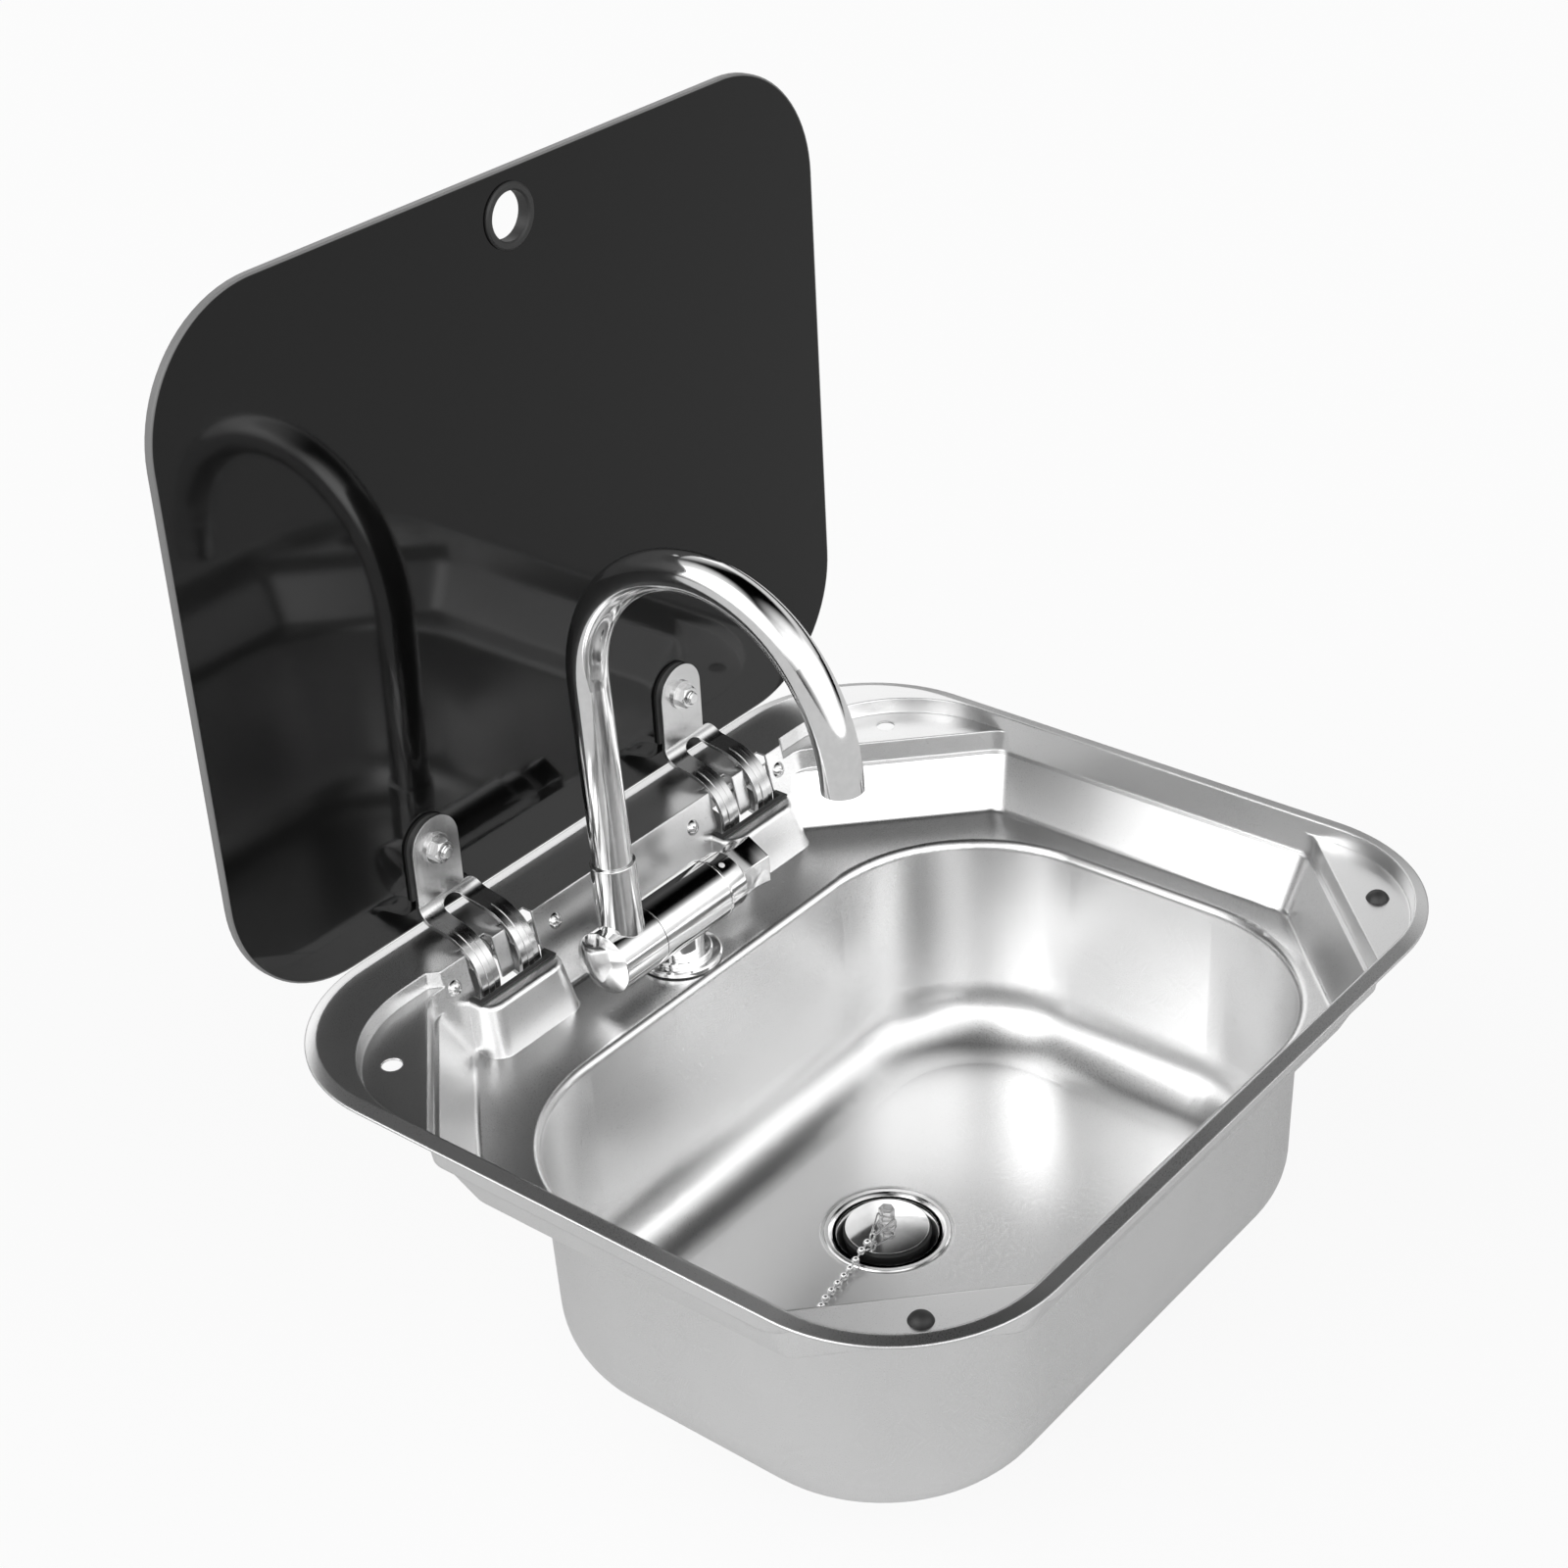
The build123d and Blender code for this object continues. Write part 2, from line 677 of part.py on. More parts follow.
def hinge_spacers(centre):
    """Washers beside the two eyes and a spacer tube between them, on the pin."""
    bore = pin_radius + turning_gap
    arm_outer = fork_width / 2
    arm_inner = arm_outer - arm_width
    spans = [
        (-ear_inner, -arm_outer - side_gap),
        (side_gap - arm_inner, arm_inner - side_gap),
        (arm_outer + side_gap, ear_inner),
    ]
    rings = []
    for start, end in spans:
        ring = along_x(arm_eye_radius - 0.5, centre + start, centre + end, pivot_y, pivot_z)
        rings.append(ring - along_x(bore, centre + start - 1, centre + end + 1, pivot_y, pivot_z))
    return rings


def strip_profile(width, tab=True):
    """Side view of the hinge strip in the YZ plane: tab, bend, arc about the pivot, link to the eye."""
    pivot = Vector(pivot_y, pivot_z)

    def on_arc(angle, radius=arm_arc_radius):
        return pivot + Vector(radius * cos(radians(angle)), radius * sin(radians(angle)))

    top = on_arc(arm_arc_top)
    end = on_arc(arm_arc_end)
    middle = on_arc((arm_arc_top + arm_arc_end) / 2)
    arc = ThreePointArc(top, middle, end)
    if not tab:
        return trace([arc], width)
    run = tab_middle - top.X
    corner = Vector(tab_middle, top.Y + run * tan(radians(arm_arc_top - 90)))
    upper = FilletPolyline((tab_middle, tab_top), corner, top, radius=arm_bend_radius)
    link = Line(end, on_arc(arm_arc_end, arm_eye_radius - 1))
    return trace([upper.edges(), arc, link], width)


def raised(sketch, left, right):
    """Extrude a YZ side view between two X values."""
    placed = Plane(origin=(left, 0, 0), x_dir=(0, 1, 0), z_dir=(1, 0, 0)) * sketch
    return extrude(placed, right - left, dir=(1, 0, 0))


def hinge_arm(centre):
    """Forked strip: a rounded tab on the lid, a bend, and two arms that curve down to the pivot."""
    half = fork_width / 2
    tab_x = centre + tab_offset
    bend_z = strip_bend_z()
    strip = raised(strip_profile(arm_thickness), centre - half, centre + half)
    keep_tab = slab(
        (tab_x - tab_width / 2, tab_x + tab_width / 2), (tab_front - 1, tab_back + 1), (bend_z, tab_top)
    )
    keep_tab &= along_y(tab_width / 2, tab_front - 2, tab_back + 2, tab_x, tab_top - tab_width / 2) + slab(
        (tab_x - tab_width / 2, tab_x + tab_width / 2),
        (tab_front - 2, tab_back + 2),
        (bend_z - 1, tab_top - tab_width / 2),
    )
    above = slab((centre - half - 1, centre + half + 1), (tab_front - 2, tab_back + 2), (bend_z, tab_top + 1))
    arm = strip - (above - keep_tab)
    shoulder = (centre + half, bend_z)
    square = Pos(shoulder[0] - fork_shoulder_radius / 2, 0, bend_z - fork_shoulder_radius / 2)
    corner = square * Box(fork_shoulder_radius, 4 * pivot_y, fork_shoulder_radius)
    corner = corner - along_y(
        fork_shoulder_radius,
        0,
        2 * pivot_y,
        centre + half - fork_shoulder_radius,
        bend_z - fork_shoulder_radius,
    )
    arm -= corner
    gap_half = half - arm_width
    crotch_z = bend_z - fork_crotch_drop
    crotch = along_y(gap_half, 0, lid_front_y, centre, crotch_z - gap_half)
    crotch_height = (pivot_z - 2 * arm_arc_radius, crotch_z - gap_half)
    crotch += slab((centre - gap_half, centre + gap_half), (0, lid_front_y), crotch_height)
    arm -= crotch
    for x in arm_centres(centre):
        left = x - arm_width / 2
        right = x + arm_width / 2
        arm += along_x(arm_eye_radius, left, right, pivot_y, pivot_z)
        rib = strip_profile(arm_thickness + 2 * arm_rib_height, tab=False)
        arm += raised(rib, x - arm_rib_width / 2, x + arm_rib_width / 2)
        arm -= along_x(pin_radius + turning_gap, left - 1, right + 1, pivot_y, pivot_z)
    arm -= along_y(lid_bolt_radius + fixed_gap, tab_front - 1, tab_back + 1, tab_x, lid_bolt_z)
    return arm


def strip_bend_z():
    """Height where the flat tab starts, just above the bend."""
    top_y = pivot_y + arm_arc_radius * cos(radians(arm_arc_top))
    top_z = pivot_z + arm_arc_radius * sin(radians(arm_arc_top))
    corner_z = top_z + (tab_middle - top_y) * tan(radians(arm_arc_top - 90))
    return corner_z + arm_bend_radius * tan(radians(180 - arm_arc_top) / 2)


def tab_x_of(centre):
    return centre + tab_offset


def hinge_gasket(centre):
    """Rubber pad between the tab and the glass, a little past the tab on its left."""
    x = tab_x_of(centre) - gasket_overhang
    half = tab_width / 2
    round_z = tab_top - half + gasket_overhang / 2
    pad = along_y(half, tab_back, lid_front_y, x, round_z)
    pad += slab((x - half, x + half), (tab_back, lid_front_y), (gasket_bottom_z, round_z))
    bolt_hole = along_y(
        lid_bolt_radius + fixed_gap, tab_back - 1, lid_front_y + 1, tab_x_of(centre), lid_bolt_z
    )
    return pad - bolt_hole


# ---------------------------------------------------------------- the lid
def bolt_xs():
    return [tab_x_of(centre) for centre in hinge_sides.values()]


def glass_lid():
    """Tempered glass plate standing open, with two bolt holes and a finger hole."""
    plate = Plane(origin=(0, lid_back_y, lid_bottom_z + lid_height / 2), x_dir=(1, 0, 0), z_dir=(0, -1, 0))
    glass = extrude(plate * RectangleRounded(lid_width, lid_height, lid_radius), lid_thickness)
    rims = glass.faces().filter_by(Axis.Y).edges()
    glass = fillet(rims, lid_edge_radius)
    reach = (lid_front_y - 1, lid_back_y + 1)
    glass -= along_y(finger_hole_radius, *reach, 0, finger_z)
    for x in bolt_xs():
        glass -= along_y(lid_sleeve_radius + fixed_gap, *reach, x, lid_bolt_z)
    return glass


def finger_grommet():
    """Rubber ring in the finger hole, with a rounded flange on each face of the glass."""
    half = lid_thickness / 2
    neck = finger_hole_radius - fixed_gap
    outer = finger_flange_radius
    top = half + finger_flange_height
    bevel = finger_flange_bevel
    profile = [
        (finger_bore_radius, bevel - top),
        (finger_bore_radius + bevel, -top),
        (outer - bevel, -top),
        (outer, bevel - top),
        (outer, -half),
        (neck, -half),
        (neck, half),
        (outer, half),
        (outer, top - bevel),
        (outer - bevel, top),
        (finger_bore_radius + bevel, top),
        (finger_bore_radius, top - bevel),
    ]
    return Pos(0, lid_front_y + half, finger_z) * Rot(90, 0, 0) * turned(profile)


def lid_bolts():
    """Two bolts through glass, gasket and tab, their low heads behind the glass."""
    head_face = lid_back_y + lid_washer_thickness
    end = tab_front - nut_height - bolt_end
    bolts = []
    for x in bolt_xs():
        bolt = along_y(lid_bolt_radius, end, head_face + 1, x, lid_bolt_z)
        head = along_y(lid_head_radius, head_face, head_face + lid_head_height, x, lid_bolt_z)
        rim = head.edges().filter_by(GeomType.CIRCLE).sort_by(Axis.Y)[-1]
        bolt += fillet(rim, lid_head_round)
        bolt = chamfer(bolt.edges().filter_by(GeomType.CIRCLE).sort_by(Axis.Y)[0], bolt_end_chamfer)
        bolts.append(bolt)
    return bolts


def lid_washers():
    """Rubber washers under the bolt heads."""
    washers = []
    for x in bolt_xs():
        ring = along_y(lid_washer_radius, lid_back_y, lid_back_y + lid_washer_thickness, x, lid_bolt_z)
        bore = along_y(lid_bolt_radius + fixed_gap, lid_back_y - 1, lid_back_y + 3, x, lid_bolt_z)
        washers.append(ring - bore)
    return washers


def lid_sleeves():
    """Plastic sleeves that keep the bolts off the glass."""
    sleeves = []
    for x in bolt_xs():
        ring = along_y(lid_sleeve_radius, lid_front_y, lid_back_y, x, lid_bolt_z)
        bore = along_y(lid_bolt_radius + fixed_gap, lid_front_y - 1, lid_back_y + 1, x, lid_bolt_z)
        sleeves.append(ring - bore)
    return sleeves


def lid_nuts():
    """Flanged hexagon nuts on the front of the tabs."""
    nut = hexagon(nut_flats, nut_height)
    cone = Pos(0, 0, nut_height / 2) * Cone(nut_flats, nut_flats / 2 - nut_corner_bevel, nut_height)
    nut = nut & cone
    nut += upright(nut_flange_radius, 0, nut_flange_thickness)
    nut -= upright(lid_bolt_radius + fixed_gap, -1, nut_height + 1)
    return [Pos(x, tab_front, lid_bolt_z) * Rot(90, 0, 0) * nut for x in bolt_xs()]


# ---------------------------------------------------------------- wall screws
def wall_screws():
    """Four pan-head screws with a cross recess, through the rear wall into the brackets."""
    ball_radius = (screw_head_radius**2 + screw_head_height**2) / (2 * screw_head_height)
    head = Pos(0, 0, screw_head_height - ball_radius) * Sphere(ball_radius)
    head &= upright(screw_head_radius, 0, screw_head_height)
    for turn in (45, 135):
        slot = Box(cross_length, cross_width, 2 * cross_depth)
        head -= Pos(0, 0, screw_head_height) * Rot(0, 0, turn) * slot
    screw = head + upright(screw_radius, -screw_length, 0.5)
    return [place * screw for place in screw_places()]


def wall_nuts():
    """Hexagon nuts behind the bracket flanges."""
    nut = hexagon(screw_nut_flats, screw_nut_height)
    nut -= upright(screw_radius + fixed_gap, -1, screw_nut_height + 1)
    back = -wall_back() - bracket_thickness - screw_nut_height
    return [place * Pos(0, 0, back) * nut for place in screw_places()]


# ---------------------------------------------------------------- the tap
def tap_gasket():
    """Thin rubber ring under the flange of the tap."""
    ring = upright(tap_flange_radius - 1, -ledge_depth, tap_base_z)
    return Pos(tap_x, tap_y, 0) * (ring - upright(shank_radius + fixed_gap, -ledge_depth - 1, tap_base_z + 1))


def tap_base_flange():
    """Round base plate with a second, smaller step."""
    step_z = tap_base_z + tap_flange_height
    top = step_z + tap_step_height
    profile = [
        (shank_radius + fixed_gap, tap_base_z),
        (tap_flange_radius, tap_base_z),
        (tap_flange_radius, step_z - tap_flange_bevel),
        (tap_flange_radius - tap_flange_bevel, step_z),
        (tap_step_radius, step_z),
        (tap_step_radius, top - tap_step_bevel),
        (tap_step_radius - tap_step_bevel, top),
        (shank_radius + fixed_gap, top),
    ]
    return Pos(tap_x, tap_y, 0) * turned(profile)


def tap_body():
    """Level barrel on a short neck, with a journal on its left and a valve bore on its right."""
    neck_bottom = tap_base_z + tap_flange_height + tap_step_height
    body = along_x(tap_radius, tap_body_left, tap_body_right, tap_y, tap_axis_z)
    collar_left = tap_body_right - tap_collar_width
    body += along_x(tap_radius + tap_collar_step, collar_left, tap_body_right, tap_y, tap_axis_z)
    body += Pos(tap_x, tap_y, 0) * upright(tap_neck_radius, neck_bottom, tap_axis_z)
    journal_end = tap_body_left - journal_length
    journal = along_x(journal_radius, journal_end, tap_body_left, tap_y, tap_axis_z)
    groove_x = tap_body_left - journal_length / 2
    groove = along_x(journal_radius + 1, groove_x - ring_section, groove_x + ring_section, tap_y, tap_axis_z)
    groove -= along_x(ring_groove_radius, groove_x - 2, groove_x + 2, tap_y, tap_axis_z)
    body += journal - groove
    body -= Pos(tap_x, tap_y, 0) * upright(shank_radius + thread_gap, neck_bottom - 1, shank_top)
    body -= Pos(tap_x, tap_y, 0) * upright(shank_bore, shank_top - 1, tap_axis_z)
    body -= along_x(cartridge_radius + thread_gap, cartridge_left, tap_body_right + 1, tap_y, tap_axis_z)
    body -= along_x(shank_bore, journal_end - 1, cartridge_left + 1, tap_y, tap_axis_z)
    return body


def valve_cartridge():
    """Brass valve insert in the right end of the barrel, with a bore for the stem."""
    insert = along_x(cartridge_radius, cartridge_left, tap_body_right, tap_y, tap_axis_z)
    bore_from = cartridge_left + cartridge_wall
    return insert - along_x(stem_radius + turning_gap, bore_from, tap_body_right + 1, tap_y, tap_axis_z)


def tap_shank():
    """Threaded tube from the neck down through the ledge."""
    tube = upright(shank_radius, shank_bottom, shank_top)
    return Pos(tap_x, tap_y, 0) * (tube - upright(shank_bore, shank_bottom - 1, shank_top + 1))


def back_washer():
    under = -ledge_depth - sheet
    ring = upright(back_washer_radius, under - back_washer_thickness, under)
    return Pos(tap_x, tap_y, 0) * (ring - upright(shank_radius + fixed_gap, under - 9, under + 1))


def back_nut():
    """Hexagon nut that clamps the tap to the ledge."""
    bottom = -ledge_depth - sheet - back_washer_thickness - back_nut_height
    nut = Pos(0, 0, bottom) * hexagon(back_nut_flats, back_nut_height)
    return Pos(tap_x, tap_y, 0) * Rot(0, 0, 30) * (nut - upright(shank_radius + fixed_gap, bottom - 1, 0))


def inlet_tail():
    """Plain pipe end for the water supply, with a hexagon collar."""
    collar_bottom = shank_bottom - tail_hex_height
    tail = Pos(0, 0, collar_bottom) * hexagon(tail_hex_flats, tail_hex_height)
    tail += upright(tail_radius, collar_bottom - tail_length, collar_bottom)
    tail -= upright(shank_bore - 1, collar_bottom - tail_length - 1, shank_bottom + 1)
    return Pos(tap_x, tap_y, 0) * tail


def spout_frame():
    """The spout's own frame: origin on the barrel's axis, Z up the tube, Y to the rear."""
    return Pos(spout_x, tap_y, tap_axis_z) * Rot(-spout_lean, 0, 0)


def spout_holder():
    """Left end of the barrel, which folds about it, with the upright socket of the spout."""
    holder = along_x(tap_radius, holder_left, holder_right, tap_y, tap_axis_z)
    frame = spout_frame()
    holder += frame * upright(socket_radius, 0, socket_length)
    bore_end = tap_body_left - journal_length - side_gap
    holder -= along_x(journal_radius + turning_gap, bore_end, holder_right + 1, tap_y, tap_axis_z)
    holder -= along_x(shank_bore, spout_x, bore_end + 1, tap_y, tap_axis_z)
    holder -= frame * upright(tube_radius + turning_gap, socket_floor, socket_length + 1)
    holder -= frame * upright(shank_bore, 0, socket_floor + 1)
    holder -= set_screw_hole()
    return holder


def set_screw_frame():
    return spout_frame() * Pos(0, 0, set_screw_height) * Rot(0, 90, 0)


def set_screw_hole():
    start = tube_radius - tube_wall / 2
    return set_screw_frame() * upright(set_screw_radius + thread_gap, start, socket_radius + 1)


def set_screw():
    """Grub screw in the right side of the socket, with a hexagon recess."""
    start = tube_radius + 2 * turning_gap
    end = socket_radius + set_screw_proud
    screw = upright(set_screw_radius, start, end)
    screw -= Pos(0, 0, end - set_screw_key_depth) * hexagon(set_screw_key, 2 * set_screw_key_depth)
    return set_screw_frame() * screw


def holder_end_cap():
    """Domed cap that closes the left end of the barrel."""
    ball_radius = (tap_radius**2 + end_cap_bulge**2) / (2 * end_cap_bulge)
    centre_x = holder_left - end_cap_bulge + ball_radius
    ball = Pos(centre_x, tap_y, tap_axis_z) * Sphere(ball_radius)
    return ball & along_x(tap_radius, holder_left - end_cap_bulge, holder_left, tap_y, tap_axis_z)


def journal_ring():
    """O-ring on the journal, inside the holder."""
    middle = tap_body_left - journal_length / 2
    half = ring_section - fixed_gap
    ring = along_x(journal_radius - fixed_gap, middle - half, middle + half, tap_y, tap_axis_z)
    return ring - along_x(ring_groove_radius + thread_gap, middle - 2, middle + 2, tap_y, tap_axis_z)


def spout_path():
    """Centre line of the spout in its own frame: up, over to the front and down."""
    start = (0, 0, socket_floor + side_gap)
    top = (0, 0, tube_straight)
    rise = Line(start, top)
    bow_centre = Vector(0, -bow_radius, tube_straight)

    def on_bow(turn):
        return bow_centre + Vector(0, bow_radius * cos(radians(turn)), bow_radius * sin(radians(turn)))

    bow = ThreePointArc(top, on_bow(bow_turn / 2), on_bow(bow_turn))
    tail_centre = bow_centre + Vector(
        0,
        (bow_radius - tail_bow_radius) * cos(radians(bow_turn)),
        (bow_radius - tail_bow_radius) * sin(radians(bow_turn)),
    )

    def on_tail(turn):
        angle = radians(bow_turn + turn)
        return tail_centre + Vector(0, tail_bow_radius * cos(angle), tail_bow_radius * sin(angle))

    tail = ThreePointArc(on_bow(bow_turn), on_tail(tail_bow_turn / 2), on_tail(tail_bow_turn))
    angle = radians(bow_turn + tail_bow_turn)
    heading = Vector(0, -sin(angle), cos(angle))
    tip = Line(on_tail(tail_bow_turn), on_tail(tail_bow_turn) + heading * tube_tip)
    return Wire([rise.edge(), bow.edge(), tail.edge(), tip.edge()])


def spout_tube():
    """Bent tube of the spout, open at its tip and standing in the socket."""
    path = spout_path()
    start = Plane(origin=path @ 0, z_dir=path % 0)
    outer = sweep(start * Circle(tube_radius), path)
    inner = sweep(start * Circle(tube_radius - tube_wall), path)
    return spout_frame() * (outer - inner)


def spout_aerator():
    """Aerator just inside the tip of the spout."""
    path = spout_path()
    place = Plane(origin=path @ 1, z_dir=path % 1)
    body = upright(tube_radius - tube_wall - thread_gap, -aerator_inset - aerator_length, -aerator_inset)
    holes = PolarLocations(aerator_hole_ring, aerator_hole_count)
    body -= holes * upright(aerator_hole_radius, -aerator_inset - aerator_hole_depth, 1)
    straight = min(aerator_length, tube_tip - aerator_inset)
    body &= upright(tube_radius, -aerator_inset - straight, 0)
    return spout_frame() * place.location * body


def valve_stem():
    """Stem of the valve, from the insert into the knob."""
    left = cartridge_left + cartridge_wall + side_gap
    return along_x(stem_radius, left, knob_left + knob_bore_depth, tap_y, tap_axis_z)


def tap_knob():
    """Control knob: a round shoulder and a six-sided grip."""
    knob = along_x(knob_radius, knob_left, knob_right, tap_y, tap_axis_z)
    knob = chamfer(knob.edges().filter_by(GeomType.CIRCLE).sort_by(Axis.X)[-1], knob_end_chamfer)
    grip = Pos(knob_facets_from, tap_y, tap_axis_z) * Rot(0, 90, 0) * hexagon(knob_flats, knob_right)
    shoulder = along_x(tap_radius, knob_left - 1, knob_facets_from, tap_y, tap_axis_z)
    knob &= grip + shoulder
    bore_end = knob_left + knob_bore_depth
    return knob - along_x(stem_radius + thread_gap, knob_left - 1, bore_end, tap_y, tap_axis_z)


# ---------------------------------------------------------------- waste and plug
def waste_flange():
    """Polished waste: a rim in the pressed seat, a dish down to the plug's seat and a threaded tube."""
    outer = drain_hole_radius - fixed_gap
    tail_top = waste_rim_z - waste_thread_length
    seat_z = waste_rim_top - waste_dish_depth
    seat_low = seat_z - waste_seat_height
    profile = [
        (waste_rim_radius, waste_rim_z),
        (waste_rim_radius, waste_rim_top - waste_rim_edge),
        (waste_rim_radius - waste_rim_edge, waste_rim_top),
        (waste_dish_radius + waste_dish_bevel, waste_rim_top),
        (waste_dish_radius, waste_rim_top - waste_dish_drop),
        (waste_seat_radius + waste_flare, seat_z + waste_flare_height),
        (waste_seat_radius, seat_z),
        (waste_seat_radius, seat_low),
        (waste_bore_radius, seat_low - 1),
        (waste_bore_radius, tail_top + 1),
        (waste_tail_bore, tail_top - 1),
        (waste_tail_bore, tail_top - waste_tail_length),
        (waste_tail_radius, tail_top - waste_tail_length),
        (waste_tail_radius, tail_top),
        (outer, tail_top),
        (outer, waste_rim_z),
    ]
    return turned(profile)


def waste_gasket():
    """Rubber ring under the basin floor, round the waste."""
    top = waste_rim_z - sheet
    ring = upright(drain_press_radius, top - waste_gasket_thickness, top)
    return ring - upright(drain_hole_radius, top - 2 * waste_gasket_thickness, top + 1)


def waste_nut():
    """Back nut of the waste, with eight lugs for a hand or a spanner."""
    top = waste_rim_z - sheet - waste_gasket_thickness
    ring_radius = waste_nut_radius - waste_lug_depth / 2
    nut = upright(ring_radius, top - waste_nut_height, top)
    lug = Box(waste_lug_depth, waste_lug_width, waste_nut_height)
    for place in PolarLocations(ring_radius, waste_lug_count):
        nut += Pos(0, 0, top - waste_nut_height / 2) * place * lug
    return nut - upright(drain_hole_radius, top - waste_nut_height - 1, top + 1)


def plug_rubber():
    """Rubber plug in its seat, flared at the top."""
    seat_z = waste_rim_top - waste_dish_depth
    seat = waste_seat_radius - rest_gap
    profile = [
        (0, seat_z - waste_seat_height),
        (seat - plug_foot_bevel, seat_z - waste_seat_height),
        (seat, seat_z - waste_seat_height + plug_foot_bevel),
        (seat, seat_z),
        (plug_rubber_radius, plug_cap_z - plug_flare_height),
        (plug_rubber_radius, plug_cap_z - plug_edge_bevel),
        (plug_rubber_radius - plug_edge_bevel, plug_cap_z),
        (0, plug_cap_z),
    ]
    return turned(profile)


def plug_cap():
    """Bright disc on the plug, slightly domed."""
    rise = plug_cap_height - plug_cap_rim
    ball_radius = (plug_cap_radius**2 + rise**2) / (2 * rise)
    ball = Pos(0, 0, plug_cap_z + plug_cap_height - ball_radius) * Sphere(ball_radius)
    return ball & upright(plug_cap_radius, plug_cap_z, plug_cap_z + plug_cap_height)


def plug_post():
    """Six-sided clear post in the middle of the plug, with a foot."""
    foot_z = plug_cap_z + plug_cap_height
    post = Pos(0, 0, foot_z) * hexagon(2 * plug_post_radius, plug_post_height)
    top = post.faces().sort_by(Axis.Z)[-1]
    post = chamfer(top.edges(), plug_post_chamfer)
    post += upright(plug_post_radius + plug_foot_margin, foot_z - plug_foot_sink, foot_z + plug_foot_height)
    heading = chain_heading()
    across = Plane(origin=(0, 0, foot_z + link_height), z_dir=(-heading.Y, heading.X, 0))
    post -= across * Cylinder(link_wire_radius + fixed_gap, 4 * plug_post_radius)
    return post - plug_cap()


def chain_heading():
    """Direction of the chain as it leaves the plug, on the basin floor."""
    return Vector(-34.5, -4.7, 0).normalized()


def wire_loop(points, radius, wire):
    """A closed wire along a rounded polygon."""
    path = Wire(FilletPolyline(*points, radius=radius, close=True).edges())
    return sweep(Plane(origin=path @ 0, z_dir=path % 0) * Circle(wire), path)


def plug_link():
    """Wire link: a triangle through the post, drawn down to the ring of the chain."""
    heading = chain_heading()
    side = Vector(-heading.Y, heading.X, 0)
    reach = plug_post_radius + 3 * link_wire_radius
    tip = link_tip_half_width
    high = Vector(0, 0, plug_cap_z + plug_cap_height + link_height)
    low = Vector(0, 0, plug_cap_z + plug_cap_height + chain_ring_height)
    point = heading * link_reach
    points = [side * reach + high, high - side * reach, point - side * tip + low, point + side * tip + low]
    bends = [link_bend_radius, link_bend_radius, link_tip_radius, link_tip_radius]
    return wire_loop(points, bends, link_wire_radius)


def chain_ring_reach():
    """Distance of the chain's ring from the plug's axis, with its near side inside the wire link."""
    return link_reach + ring_radius - 2 * link_wire_radius - fixed_gap


def chain_ring():
    """Small upright ring between the wire link and the first bead."""
    heading = chain_heading()
    centre = heading * chain_ring_reach() + Vector(0, 0, plug_cap_z + plug_cap_height + chain_ring_height)
    across = Plane(origin=centre, x_dir=heading, z_dir=(-heading.Y, heading.X, 0))
    return across * Torus(ring_radius, link_wire_radius)


def chain_path():
    """Centre line of the bead chain: off the plug's cap, down to the floor and round to the left."""
    heading = chain_heading()
    cap_z = plug_cap_z + plug_cap_height + bead_radius
    floor_z = -basin_floor_depth + bead_radius + rest_gap
    first = chain_ring_reach() + ring_radius + link_wire_radius + bead_radius + fixed_gap
    heights = [cap_z - chain_sag] + [floor_z] * (len(chain_route) - 1)
    points = [heading * first + Vector(0, 0, cap_z)]
    for (ahead, aside), z in zip(chain_route, heights):
        points.append(heading * (first + ahead * bead_pitch) + Vector(0, aside * bead_pitch, z))
    return Wire(FilletPolyline(*points, radius=[bend * bead_pitch for bend in chain_bends]).edges())


def bead_places():
    path = chain_path()
    return [path.position_at(bead_pitch * i, position_mode=PositionMode.LENGTH) for i in range(bead_count)]


def bead_chain():
    """Ball chain: round beads joined by short wires."""
    places = bead_places()
    chain = Part()
    for here, after in zip(places, places[1:]):
        step = after - here
        rod = Plane(origin=here, z_dir=step) * upright(chain_wire_radius, 0, step.length)
        chain += rod
    for place in places:
        chain += Pos(*place) * Sphere(bead_radius)
    return chain


def chain_end_ring():
    """Ring at the loose end of the chain, flat on the basin floor."""
    places = bead_places()
    step = (places[-1] - places[-2]).normalized()
    centre = places[-1] + step * (end_ring_radius + end_ring_wire + bead_radius + fixed_gap)
    z = -basin_floor_depth + end_ring_wire + rest_gap
    return Pos(centre.X, centre.Y, z) * Torus(end_ring_radius, end_ring_wire)


